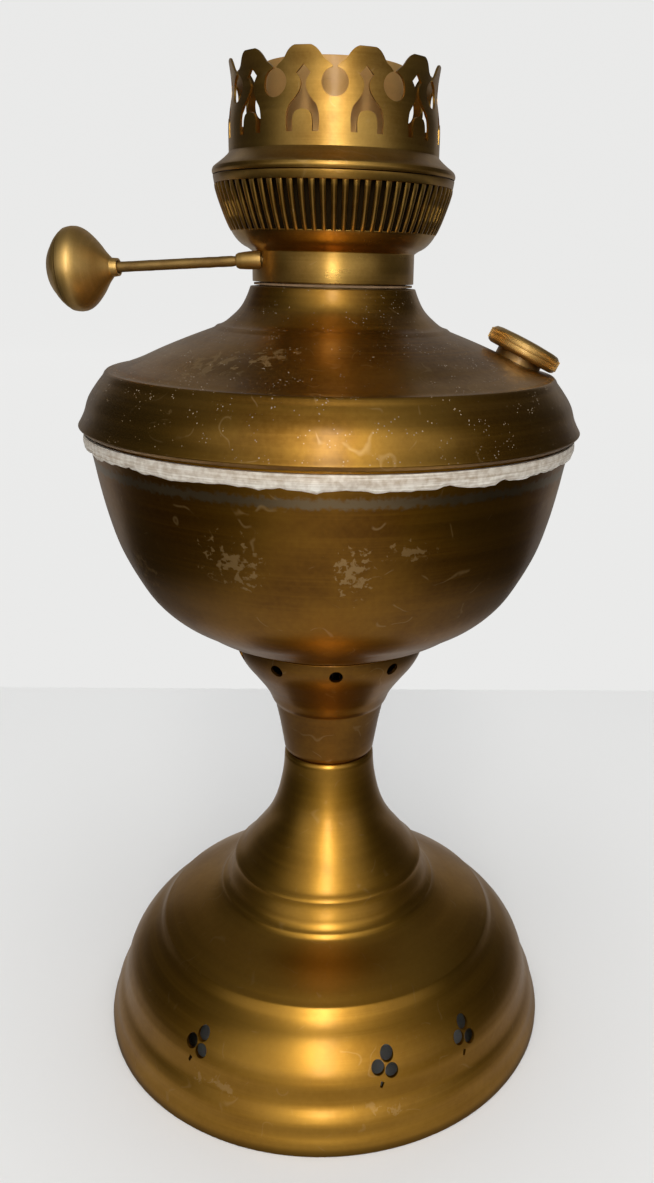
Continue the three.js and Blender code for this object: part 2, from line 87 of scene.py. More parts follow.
class Slot(Enum):
    """The record's material slots."""

    AGED = "aged_brass"
    DARK = "dark_brass"
    BRIGHT = "bright_brass"
    SOLDER = "solder"
    COTTON = "cotton"


# ---------------------------------------------------------------- the frame's sizes


def foot_of(node: str) -> float:
    """The height of a CAD node's lowest point."""
    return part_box(node)[0].z / MM


def top_of(node: str) -> float:
    """The height of a CAD node's highest point."""
    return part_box(node)[1].z / MM


def reach_of(node: str) -> float:
    """The radius of a CAD node that is turned round the lamp's axis."""
    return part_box(node)[1].y / MM


def axle(joint: str, node: str, far: float) -> Matrix:
    """The frame of a turning axis, with +Z along it.

    Args:
        joint: The hinge that turns on the axis.
        node: A CAD node on the axis.
        far: The height in the new frame of that node's far end.

    Returns:
        The matrix from the axis's frame to the lamp's, in millimetres.
    """
    row = next(j for j in frame["joints"] if j["name"] == joint)
    along, start = Vector(row["axis"]), Vector(row["pos_m"]) / MM
    if joint == "winder_turn":
        along = -along  # from the burner to the knob
    along.normalize()
    reach = max((v.co / MM - start).dot(along) for v in frame["nodes"][node].data.vertices)
    origin = start + along * (reach - far)
    return Matrix.Translation(origin) @ along.to_track_quat("Z", "Y").to_matrix().to_4x4()


# ---------------------------------------------------------------- outlines


def smooth_run(points: Sequence[Point]) -> list[Point]:
    """Points about PITCH apart along a smooth curve through the given ones.

    Args:
        points: Two or more points. Two make a straight line.

    Returns:
        The curve's points, from the first given point to the last.
    """
    knots = [Vector(p) for p in points]
    if len(knots) == 2:
        steps = max(1, round((knots[1] - knots[0]).length / (4 * PITCH)))
        return [tuple(knots[0].lerp(knots[1], i / steps)) for i in range(steps + 1)]
    spans = [(b - a).length for a, b in zip(knots, knots[1:])]
    slopes = [(b - a) / h for a, b, h in zip(knots, knots[1:], spans)]
    tangents = [slopes[0]]
    for before, after, h0, h1 in zip(slopes, slopes[1:], spans, spans[1:]):
        tangents.append((before * h1 + after * h0) / (h0 + h1))
    tangents.append(slopes[-1])
    made = []
    for a, b, ta, tb, h in zip(knots, knots[1:], tangents, tangents[1:], spans):
        steps = max(1, round(h / PITCH))
        for i in range(steps):
            t = i / steps
            t2, t3 = t * t, t * t * t
            made.append(
                a * (2 * t3 - 3 * t2 + 1) + ta * (h * (t3 - 2 * t2 + t)) + b * (3 * t2 - 2 * t3) + tb * (h * (t3 - t2))
            )
    return [tuple(p) for p in [*made, knots[-1]]]


def face_line(*runs: Sequence[Point]) -> list[Point]:
    """One line through smooth runs that meet at corners.

    Args:
        *runs: Each run after the first starts at the last point of the one before it.

    Returns:
        The points of the whole line.
    """
    line = smooth_run(runs[0])
    for before, run in zip(runs, runs[1:]):
        line += smooth_run([before[-1], *run])[1:]
    return line


def walled(outer: Sequence[Point], wall: float) -> list[Point]:
    """The closed outline of a sheet whose outer face is given, with its wall on the left of that run.

    Args:
        outer: The points of the outer face.
        wall: The sheet's thickness.

    Returns:
        The outer face, then the inner face back to the start.
    """
    inner = []
    for i, (r, z) in enumerate(outer):
        r0, z0 = outer[max(i - 1, 0)]
        r1, z1 = outer[min(i + 1, len(outer) - 1)]
        after = math.atan2(z1 - z, r1 - r) if i < len(outer) - 1 else math.atan2(z - z0, r - r0)
        before = math.atan2(z - z0, r - r0) if i else after
        bend = (after - before + math.pi) % TAU - math.pi
        normal = before + bend / 2 + math.pi / 2
        reach = wall / max(math.cos(bend / 2), 0.6)
        inner.append((r + reach * math.cos(normal), z + reach * math.sin(normal)))
    return [*outer, *reversed(inner)]


def eased(outline: Sequence[Point], ease: float = EASE, closed: bool = True) -> list[Point]:
    """The outline with each sharp corner turned into a small round.

    Args:
        outline: Its points.
        ease: How far from a corner the round starts.
        closed: Whether the last point joins the first.

    Returns:
        The points of the eased outline.
    """
    made: list[Point] = []
    count = len(outline)
    for i, point in enumerate(outline):
        p = Vector(point)
        before, after = Vector(outline[i - 1]) - p, Vector(outline[(i + 1) % count]) - p
        end = not closed and i in (0, count - 1)
        if end or before.length < 1e-6 or after.length < 1e-6 or before.angle(-after) < CORNER:
            made.append(point)
            continue
        start = p + before * min(0.45, ease / before.length)
        stop = p + after * min(0.45, ease / after.length)
        for step in range(5):
            t = step / 4
            made.append(tuple(start * (1 - t) ** 2 + p * (2 * t * (1 - t)) + stop * t**2))
    return made


def circle(radius: float, up: float, facets: int) -> list[Point]:
    """The points of a circle whose centre is at the given height."""
    return [(radius * math.cos(TAU * i / facets), up + radius * math.sin(TAU * i / facets)) for i in range(facets)]


# ---------------------------------------------------------------- meshes


def mesh_of(name: str, points: Sequence[Sequence[float]], faces: Sequence[Sequence[int]]) -> bpy.types.Mesh:
    """A mesh from points in millimetres."""
    mesh = bpy.data.meshes.new(name)
    mesh.from_pydata([Vector(p) * MM for p in points], [], faces)
    mesh.validate()
    return mesh


def leftward(outline: Sequence[Point]) -> list[Point]:
    """The outline in the direction that has its inside on the left."""
    area = sum(x * y2 - x2 * y for (x, y), (x2, y2) in zip(outline, [*outline[1:], outline[0]]))
    return list(outline) if area > 0 else list(reversed(outline))


def lathe(
    name: str,
    outline: Sequence[Point],
    facets: int = TURNED_FACETS,
    wobble: Wobble | None = None,
    place: Matrix | None = None,
) -> bpy.types.Mesh:
    """A closed outline turned round an axis.

    Args:
        name: The mesh's name.
        outline: Points [radius, height]. It is closed on itself, or along the axis where it starts and ends there.
        facets: Faces round the axis.
        wobble: What a place on the metal is out by, in radius and height.
        place: The frame to turn it in, where that isn't the lamp's own.

    Returns:
        A closed mesh with its faces outwards.
    """
    path = leftward(outline)
    on_axis = abs(path[0][0]) < 1e-6 and abs(path[-1][0]) < 1e-6
    points: list[Vector] = []
    rows: list[list[int]] = []
    for r, z in path:
        if abs(r) < 1e-6:
            rows.append([len(points)] * facets)
            points.append(Vector((0, 0, z)))
            continue
        rows.append(list(range(len(points), len(points) + facets)))
        for i in range(facets):
            a = TAU * i / facets
            dr, dz = wobble(a, r, z) if wobble else (0.0, 0.0)
            points.append(Vector(((r + dr) * math.cos(a), (r + dr) * math.sin(a), z + dz)))
    faces = []
    for low, high in zip(rows, rows[1:] if on_axis else [*rows[1:], rows[0]]):
        for i in range(facets):
            j = (i + 1) % facets
            corners = list(dict.fromkeys((low[i], low[j], high[j], high[i])))
            if len(corners) > 2:
                faces.append(corners)
    if place:
        points = [place @ p for p in points]
    return mesh_of(name, points, faces)


def bar(name: str, shape: Sequence[Point], near: float, far: float, place: Matrix | None = None) -> bpy.types.Mesh:
    """A flat shape [across, up] made into a bar that runs outwards along +X between two radii.

    Args:
        name: The mesh's name.
        shape: The points of the shape.
        near: The radius where the bar starts.
        far: The radius where it ends.
        place: The frame to make it in, where that isn't the lamp's own.

    Returns:
        A closed mesh with its faces outwards.
    """
    path, count = leftward(shape), len(shape)
    points = [Vector((x, across, up)) for x in (near, far) for across, up in path]
    if place:
        points = [place @ p for p in points]
    faces = [[i + count, (i + 1) % count + count, (i + 1) % count, i] for i in range(count)]
    faces += [list(range(count))[::-1], list(range(count, 2 * count))]
    mesh = mesh_of(name, points, faces)
    outwards(mesh)
    return mesh


def block(name: str, centre: Sequence[float], size: Sequence[float], place: Matrix | None = None) -> bpy.types.Mesh:
    """A square block for cutting.

    Args:
        name: The mesh's name.
        centre: Its middle.
        size: Its sizes along X, Y and Z.
        place: The frame to make it in, where that isn't the lamp's own.

    Returns:
        A closed mesh.
    """
    x, y, z = centre
    w, d, h = (s / 2 for s in size)
    return bar(name, [(y - d, z - h), (y + d, z - h), (y + d, z + h), (y - d, z + h)], x - w, x + w, place)


def outwards(mesh: bpy.types.Mesh) -> None:
    """Merges a closed mesh's doubles and turns its faces outwards."""
    made = bmesh.new()
    made.from_mesh(mesh)
    bmesh.ops.remove_doubles(made, verts=made.verts, dist=1e-7)
    bmesh.ops.recalc_face_normals(made, faces=made.faces)
    made.to_mesh(mesh)
    made.free()


def joined(name: str, meshes: Sequence[bpy.types.Mesh]) -> bpy.types.Mesh:
    """One mesh that holds all the given ones."""
    made = bmesh.new()
    for mesh in meshes:
        made.from_mesh(mesh)
    whole = bpy.data.meshes.new(name)
    made.to_mesh(whole)
    made.free()
    return whole


def new_object(name: str, mesh: bpy.types.Mesh) -> bpy.types.Object:
    """An object at the origin that shows a mesh."""
    made = bpy.data.objects.new(name, mesh)
    bpy.context.scene.collection.objects.link(made)
    return made


def result_of(made: bpy.types.Object) -> bpy.types.Mesh:
    """The mesh that an object's modifiers give. The object is removed."""
    bpy.context.view_layer.update()
    graph = bpy.context.evaluated_depsgraph_get()
    mesh = bpy.data.meshes.new_from_object(made.evaluated_get(graph))
    name = made.name
    made.modifiers.clear()
    bpy.data.objects.remove(made)
    mesh.name = name
    return mesh


def cut(mesh: bpy.types.Mesh, cutters: Sequence[bpy.types.Mesh]) -> bpy.types.Mesh:
    """A mesh with the cutters' shapes taken out of it.

    Args:
        mesh: A closed mesh.
        cutters: Closed meshes, which may touch each other.

    Returns:
        The cut mesh.
    """
    body = new_object("body_being_cut", mesh)
    tool = new_object("cutter", joined("cutter", cutters))
    step = body.modifiers.new("cut", "BOOLEAN")
    step.operation, step.solver, step.object = "DIFFERENCE", "EXACT", tool
    step.use_self = True
    made = result_of(body)
    bpy.data.objects.remove(tool)
    return made


def dents(depth: float, seed: float, scale: float = 0.03) -> Wobble:
    """Shallow dents and waviness from use, the same on both faces of the sheet.

    Args:
        depth: How far the metal is out, at most.
        seed: Where in the noise the dents are taken.
        scale: Dents for each millimetre.

    Returns:
        What a place on the metal is out by.
    """

    def out(angle: float, radius: float, height: float) -> Point:
        """How far this place is out."""
        place = Vector((radius * math.cos(angle), radius * math.sin(angle), height)) * scale
        return depth * (noise.noise(place + Vector((seed, 0, 0))) - 1.0) / 2, 0.0

    return out


# ---------------------------------------------------------------- node trees

Colour = tuple[float, float, float]
Socket = bpy.types.NodeSocket
FLOAT, VECTOR = "NodeSocketFloat", "NodeSocketVector"


class Tree:
    """A node tree that is being built."""

    def __init__(self, tree: bpy.types.NodeTree) -> None:
        """Takes the tree that gets the nodes."""
        self.tree = tree

    def add(self, kind: str, inputs: dict[str | int, object] | None = None, **settings: object) -> bpy.types.Node:
        """A new node.

        Args:
            kind: The node's type.
            inputs: A socket to link from or a value to set, for each input's name or number.
            **settings: The node's own settings.

        Returns:
            The node.
        """
        node = self.tree.nodes.new(kind)
        for key, value in settings.items():
            setattr(node, key, value)
        for key, value in (inputs or {}).items():
            if isinstance(value, Socket):
                self.tree.links.new(value, node.inputs[key])
            else:
                node.inputs[key].default_value = value
        return node

    def math(self, operation: str, *values: object, **settings: object) -> Socket:
        """The result of a Math node."""
        return self.add("ShaderNodeMath", dict(enumerate(values)), operation=operation, **settings).outputs[0]

    def parts(self, vector: Socket) -> Sequence[Socket]:
        """A vector's three coordinates."""
        return self.add("ShaderNodeSeparateXYZ", {0: vector}).outputs

    def noise(self, vector: Socket, scale: object, detail: float = 3.0) -> Socket:
        """A noise texture's value."""
        return self.add("ShaderNodeTexNoise", {"Vector": vector, "Scale": scale, "Detail": detail}).outputs[0]

    def ramp(self, value: Socket, low: object, high: object, start: object = 0.0, end: object = 1.0) -> Socket:
        """Start below low, end above high, and smooth between them."""
        sizes = {"Value": value, "From Min": low, "From Max": high, "To Min": start, "To Max": end}
        return self.add("ShaderNodeMapRange", sizes, interpolation_type="SMOOTHSTEP").outputs[0]

    def blend(self, share: object, below: object, above: object) -> Socket:
        """A colour mixed over another."""
        under, over = (c if isinstance(c, Socket) else (*c, 1.0) for c in (below, above))
        return self.add("ShaderNodeMix", {0: share, 6: under, 7: over}, data_type="RGBA").outputs[2]


class Pattern(Tree):
    """A Geometry Nodes tree that makes what repeats or follows a path."""

    def __init__(self, name: str, **inputs: str) -> None:
        """Starts a tree that has the given inputs, each with its socket type, after Geometry."""
        super().__init__(bpy.data.node_groups.new(name, "GeometryNodeTree"))
        kinds = {"Geometry": "NodeSocketGeometry", **inputs, "Finish": "NodeSocketMaterial"}
        for label, kind in kinds.items():
            self.tree.interface.new_socket(label, in_out="INPUT", socket_type=kind)
        self.tree.interface.new_socket("Geometry", in_out="OUTPUT", socket_type=kinds["Geometry"])
        self.given = self.tree.nodes.new("NodeGroupInput").outputs

    def finish(self, geometry: Socket) -> "Pattern":
        """Ends the tree in Realize Instances and Set Material, and returns it."""
        real = self.add("GeometryNodeRealizeInstances", {0: geometry})
        dressed = self.add("GeometryNodeSetMaterial", {"Geometry": real.outputs[0], "Material": self.given["Finish"]})
        self.add("NodeGroupOutput", {0: dressed.outputs[0]})
        return self

    def grow(self, name: str, mesh: bpy.types.Mesh, **sizes: object) -> bpy.types.Mesh:
        """The plain mesh that the tree makes.

        Args:
            name: The mesh's name.
            mesh: What goes in as Geometry.
            **sizes: The tree's other inputs.

        Returns:
            The realised mesh.
        """
        made = new_object(name, mesh)
        step = made.modifiers.new(name, "NODES")
        step.node_group = self.tree
        sockets = {s.name: s.identifier for s in self.tree.interface.items_tree if s.in_out == "INPUT"}
        for label, value in sizes.items():
            step[sockets[label]] = value
        return result_of(made)


def ring_of_copies() -> Pattern:
    """Copies of a shape set evenly round Z, as a punch in a dividing head sets them."""
    made = Pattern("ring_of_copies", Count="NodeSocketInt", Start=FLOAT)
    points = made.add("GeometryNodePoints", {"Count": made.given["Count"]}).outputs[0]
    share = made.math("DIVIDE", made.add("GeometryNodeInputIndex").outputs[0], made.given["Count"])
    turn = made.math("MULTIPLY_ADD", share, TAU, made.given["Start"])
    angle = made.add("ShaderNodeCombineXYZ", {"Z": turn}).outputs[0]
    copy = {"Points": points, "Instance": made.given["Geometry"], "Rotation": angle}
    return made.finish(made.add("GeometryNodeInstanceOnPoints", copy).outputs[0])


def screw_thread() -> Pattern:
    """A round ridge that climbs a cylinder."""
    made = Pattern("screw_thread", Radius=FLOAT, Ridge=FLOAT, Turns=FLOAT, Length=FLOAT, Foot=FLOAT)
    radius, turns, length = (made.given[k] for k in ("Radius", "Turns", "Length"))
    sizes = {"Rotations": turns, "Start Radius": radius, "End Radius": radius, "Height": length}
    spiral = made.add("GeometryNodeCurveSpiral", {"Resolution": THREAD_STEPS, **sizes}).outputs[0]
    ring = {"Resolution": THREAD_SIDES, "Radius": made.given["Ridge"]}
    section = made.add("GeometryNodeCurvePrimitiveCircle", ring).outputs[0]
    swept = {"Curve": spiral, "Profile Curve": section, "Fill Caps": True}
    ridge = made.add("GeometryNodeCurveToMesh", swept).outputs[0]
    lift = made.add("ShaderNodeCombineXYZ", {"Z": made.given["Foot"]}).outputs[0]
    placed = made.add("GeometryNodeTransform", {"Geometry": ridge, "Translation": lift})
    return made.finish(placed.outputs[0])


# ---------------------------------------------------------------- finishes


class Effect(Tree):
    """A shader node group that more than one finish uses."""

    def __init__(self, name: str, outputs: Sequence[str], **inputs: object) -> None:
        """Starts a group that has Place and the given inputs, with their values, and puts out values."""
        super().__init__(bpy.data.node_groups.new(name, "ShaderNodeTree"))
        for label, value in {"Place": (0, 0, 0), **inputs}.items():
            kind = VECTOR if isinstance(value, tuple) else FLOAT
            self.tree.interface.new_socket(label, in_out="INPUT", socket_type=kind).default_value = value
        for label in outputs:
            self.tree.interface.new_socket(label, in_out="OUTPUT", socket_type=FLOAT)
        self.given = self.tree.nodes.new("NodeGroupInput").outputs
        self.place = self.given["Place"]

    def finish(self, **outputs: Socket) -> "Effect":
        """Links the group's outputs and returns it."""
        self.add("NodeGroupOutput", dict(outputs))
        return self


def turning_lines() -> Effect:
    """Fine rings left by the spinning tool, round +Z of Place."""
    made = Effect("turning_lines", ["Lines"], Pitch=0.6)
    x, y, z = made.parts(made.place)
    radius = made.math("SQRT", made.math("MULTIPLY_ADD", x, x, made.math("MULTIPLY", y, y)))
    ring = made.add("ShaderNodeCombineXYZ", {"X": radius, "Y": z, "Z": made.math("MULTIPLY", x, 0.015)}).outputs[0]
    scale = made.math("DIVIDE", 1.0 / MM, made.given["Pitch"])
    fine = made.noise(ring, scale, 2.0)
    coarse = made.noise(ring, made.math("MULTIPLY", scale, 0.23), 2.0)
    return made.finish(Lines=made.math("MULTIPLY_ADD", coarse, 0.6, made.math("MULTIPLY", fine, 0.6)))


def patina() -> Effect:
    """Clouds of tarnish, large and small."""
    made = Effect("patina", ["Mask", "Grain"], Spread=30.0, Seed=0.0)
    shift = made.add("ShaderNodeCombineXYZ", {"X": made.given["Seed"]}).outputs[0]
    place = made.add("ShaderNodeVectorMath", {0: made.place, 1: shift}, operation="ADD").outputs[0]
    scale = made.math("DIVIDE", 1.0 / MM, made.given["Spread"])
    grain = made.noise(place, made.math("MULTIPLY", scale, 22.0), 3.0)
    return made.finish(Mask=made.ramp(made.noise(place, scale, 5.0), 0.33, 0.67), Grain=grain)


def scratches() -> Effect:
    """Hairlines that run every way and break off."""
    made = Effect("scratches", ["Mask"], Scale=60.0, Width=0.012)
    wander = made.noise(made.place, made.given["Scale"], 1.5)
    off = made.math("ABSOLUTE", made.math("SUBTRACT", wander, 0.5))
    line = made.math("SUBTRACT", 1.0, made.ramp(off, 0.0, made.given["Width"]))
    broken = made.ramp(made.noise(made.place, made.math("MULTIPLY", made.given["Scale"], 2.1), 2.0), 0.54, 0.62)
    return made.finish(Mask=made.math("MULTIPLY", line, broken))


def dust() -> Effect:
    """Specks that settle on what faces up."""
    made = Effect("dust", ["Mask"], Scale=900.0)
    cells = made.add("ShaderNodeTexVoronoi", {"Vector": made.place, "Scale": made.given["Scale"], "Randomness": 1.0})
    speck = made.math("SUBTRACT", 1.0, made.ramp(cells.outputs["Distance"], 0.10, 0.24))
    thin = made.ramp(made.noise(made.place, 260.0, 2.0), 0.52, 0.6)
    up = made.parts(made.add("ShaderNodeNewGeometry").outputs["Normal"])[2]
    return made.finish(Mask=made.math("MULTIPLY", made.math("MULTIPLY", speck, thin), made.ramp(up, -0.1, 0.6)))


def worn_patch() -> Effect:
    """A blotch where the metal has been rubbed or eaten, ragged at its edge."""
    made = Effect("worn_patch", ["Mask"], Centre=(0, 0, 0), Size=(0.01, 0.01, 0.01), Ragged=300.0)
    far = made.place
    for label, operation in (("Centre", "SUBTRACT"), ("Size", "DIVIDE")):
        far = made.add("ShaderNodeVectorMath", {0: far, 1: made.given[label]}, operation=operation).outputs[0]
    far = made.add("ShaderNodeVectorMath", {0: far}, operation="LENGTH").outputs["Value"]
    rough = made.noise(made.place, made.given["Ragged"], 5.0)
    wisp = made.math("ABSOLUTE", made.math("SUBTRACT", made.noise(made.place, 210.0, 4.0), 0.5))
    line = made.math("SUBTRACT", 1.0, made.ramp(wisp, 0.0, 0.035))
    body = made.math("MULTIPLY_ADD", rough, 2.6, made.math("MULTIPLY", far, -0.75))
    return made.finish(Mask=made.ramp(made.math("MULTIPLY_ADD", line, 0.28, body), 0.98, 1.22))


class Surface(Tree):
    """A material that is being built from the shared effects."""

    def __init__(self, name: str, effects: dict[str, Effect]) -> None:
        """Starts an empty material."""
        self.made = bpy.data.materials.new(name)
        self.made.use_nodes = True
        self.made.node_tree.nodes.clear()
        super().__init__(self.made.node_tree)
        self.effects = effects
        self.place = self.add("ShaderNodeTexCoord").outputs["Object"]

    def effect(self, name: str, **inputs: object) -> Sequence[Socket]:
        """An effect's outputs at this surface's place."""
        given = {"Place": self.place, **inputs}
        return self.add("ShaderNodeGroup", given, node_tree=self.effects[name].tree).outputs

    def finish(self, height: Socket, strength: float, depth: float, **inputs: object) -> bpy.types.Material:
        """Ends the material.

        Args:
            height: How high each place stands, for the bumps.
            strength: Of the bumps.
            depth: Of the bumps, in millimetres.
            **inputs: The Principled BSDF's inputs, with _ for a space in a name.

        Returns:
            The material.
        """
        bump = self.add("ShaderNodeBump", {"Strength": strength, "Distance": depth * MM, "Height": height})
        given = {label.replace("_", " "): value for label, value in inputs.items()}
        shader = self.add("ShaderNodeBsdfPrincipled", {**given, "Normal": bump.outputs[0]})
        self.add("ShaderNodeOutputMaterial", {"Surface": shader.outputs[0]})
        return self.made


@dataclass(frozen=True)
class Patch:
    """A worn patch: its centre and half sizes in millimetres, and how strong it is."""

    centre: tuple[float, float, float]
    size: tuple[float, float, float]
    strength: float = 1.0
    ragged: float = 330.0


@dataclass(frozen=True)
class Band:
    """A level band round the lamp, between two heights, in its own colour."""

    low: float
    high: float
    colour: Colour
    soft: float = 0.8


@dataclass(frozen=True)
class Brass:
    """Spun brass that has darkened with age.

    Attributes:
        name: The material's name.
        light: Its colour where it is rubbed bright.
        dark: Its colour where it is tarnished.
        rough: Roughness of the bright metal.
        pitch: Between the turning lines.
        depth: Of the turning lines.
        spread: The size of the tarnish's clouds.
        tarnish: How much of the dark colour shows.
        scratched: How strong the scratches are.
        dusty: How much dust has settled.
        lacquer: How much of the old clear lacquer is left.
        patches: Worn patches.
        bands: Level bands of another colour.
        turned: The frame of the axis that the lines run round, where that isn't the lamp's.
    """

    name: str
    light: Colour
    dark: Colour
    rough: float = 0.34
    pitch: float = 0.55
    depth: float = 0.02
    spread: float = 26.0
    tarnish: float = 0.7
    scratched: float = 0.25
    dusty: float = 0.15
    lacquer: float = 0.32
    patches: tuple[Patch, ...] = ()
    bands: tuple[Band, ...] = ()
    turned: Matrix | None = None

    def make(self, effects: dict[str, Effect]) -> bpy.types.Material:
        """The material, from the shared effects."""
        made = Surface(self.name, effects)
        if self.turned:
            axis = {"Location": self.turned.to_translation() * MM, "Rotation": self.turned.to_euler()}
            made.place = made.add("ShaderNodeMapping", {"Vector": made.place, **axis}, vector_type="TEXTURE").outputs[0]
        lines = made.effect("turning_lines", Pitch=self.pitch)["Lines"]
        cloud = made.effect("patina", Spread=self.spread, Seed=len(self.name) * 0.37)
        marks = made.effect("scratches", Scale=75.0, Width=0.012)["Mask"]
        specks = made.effect("dust", Scale=1100.0)["Mask"]

        age = made.math("MULTIPLY_ADD", cloud["Mask"], 0.75, made.math("MULTIPLY", cloud["Grain"], 0.5))
        age = made.math("MULTIPLY", age, self.tarnish)
        streak = made.math("MULTIPLY", made.math("SUBTRACT", lines, 0.56), 1.3)
        streak = made.add("ShaderNodeClamp", {0: streak}).outputs[0]
        colour = made.blend(streak, made.blend(age, self.light, self.dark), self.light)
        rough = made.math("MULTIPLY_ADD", lines, 0.14, made.math("MULTIPLY_ADD", age, 0.16, self.rough))
        for band in self.bands:
            soft = band.soft * MM
            edge = made.math("MULTIPLY_ADD", cloud["Grain"], 2.4 * soft, made.parts(made.place)[2])
            low = made.ramp(edge, band.low * MM, band.low * MM + soft)
            high = made.ramp(edge, band.high * MM, band.high * MM + soft, 1.0, 0.0)
            share = made.math("MULTIPLY", made.math("MULTIPLY", low, high), 0.85)
            colour = made.blend(share, colour, band.colour)
        bare = made.math("MULTIPLY", marks, self.scratched)
        for patch in self.patches:
            where = {"Centre": Vector(patch.centre) * MM, "Size": Vector(patch.size) * MM}
            mask = made.effect("worn_patch", Ragged=patch.ragged, **where)["Mask"]
            bare = made.math("MAXIMUM", bare, made.math("MULTIPLY", mask, patch.strength))
        settled = made.math("MULTIPLY", specks, self.dusty)
        height = made.math("MULTIPLY_ADD", bare, -0.25, lines)
        return made.finish(
            made.math("MULTIPLY_ADD", cloud["Grain"], 0.55, height),
            0.55,
            self.depth,
            Base_Color=made.blend(settled, made.blend(bare, colour, RUBBED), DUSTY),
            Metallic=made.math("SUBTRACT", 1.0, made.math("MULTIPLY", settled, 0.8)),
            Roughness=made.math("MULTIPLY_ADD", bare, 0.22, rough),
            Coat_Weight=self.lacquer,
            Coat_Roughness=0.22,
        )


@dataclass(frozen=True)
class Grey:
    """A finish without brass: solder, steel, cork or cotton.

    Attributes:
        name: The material's name.
        light: Its lighter colour.
        dark: Its darker colour.
        rough: Its roughness.
        metallic: 1 for metal and 0 for the others.
        depth: Of its grain, in millimetres.
        grain: The size of its grain, in millimetres.
        woven: Whether it has crossing threads.
        charred: The height above which it is burnt black, or 0.
    """

    name: str
    light: Colour
    dark: Colour
    rough: float
    metallic: float
    depth: float = 0.05
    grain: float = 1.2
    woven: bool = False
    charred: float = 0.0

    def make(self, effects: dict[str, Effect]) -> bpy.types.Material:
        """The material, from the shared effects."""
        made = Surface(self.name, effects)
        cloud = made.effect("patina", Spread=self.grain * 4)
        height = lines = made.effect("turning_lines", Pitch=self.grain)["Lines"]
        x, y, z = made.parts(made.place)
        if self.woven:
            warp = made.math("SINE", made.math("MULTIPLY", made.math("ARCTAN2", y, x), 44.0))
            weft = made.math("SINE", made.math("MULTIPLY", z, 4200.0))
            height = made.math("MULTIPLY", warp, weft)
        share = made.math("MULTIPLY_ADD", cloud["Mask"], 0.35, -0.95)
        share = made.math("MULTIPLY_ADD", lines, 2.1, share, use_clamp=True)
        colour = made.blend(share, self.light, self.dark)
        if self.charred:
            burnt = made.ramp(z, (self.charred - 4) * MM, self.charred * MM)
            colour = made.blend(burnt, colour, SOOT)
        rough = made.math("MULTIPLY_ADD", cloud["Grain"], 0.2, self.rough - 0.1)
        return made.finish(height, 0.7, self.depth, Base_Color=colour, Metallic=self.metallic, Roughness=rough)


# ---------------------------------------------------------------- pieces


class Workshop:
    """Holds the shared effects and patterns, and hands finished pieces over to the frame."""

    def __init__(self) -> None:
        """Builds each shared tree once."""
        self.effects = {
            e.tree.name: e for e in (turning_lines(), patina(), scratches(), dust(), worn_patch())
        }
        self.copies = ring_of_copies()
        self.thread = screw_thread()
        self.made: dict[str, bpy.types.Material] = {}

    def finish_of(self, finish: "Brass | Grey") -> bpy.types.Material:
        """A finish's material, made the first time it is asked for."""
        if finish.name not in self.made:
            self.made[finish.name] = finish.make(self.effects)
        return self.made[finish.name]

    def hand_over(
        self, name: str, mesh: bpy.types.Mesh, finish: "Brass | Grey", slot: Slot, body: Body, *nodes: str
    ) -> bpy.types.Object:
        """A finished piece, in place on its body.

        Args:
            name: The piece's name.
            mesh: Its mesh, in the lamp's frame.
            finish: What it is dressed in.
            slot: The record's slot for that. It is not used.
            body: The CAD body that it rides on.
            *nodes: The CAD nodes that it stands for.

        Returns:
            The piece.
        """
        mesh.materials.clear()
        mesh.materials.append(self.finish_of(finish))
        mesh.shade_smooth()
        mesh.set_sharp_from_angle(angle=SHARP)
        piece = new_object(name, mesh)
        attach(piece, body.value)
        if nodes:
            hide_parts(*nodes)
        LOG.info("%s: %d faces on %s", name, len(mesh.polygons), body.value)
        return piece


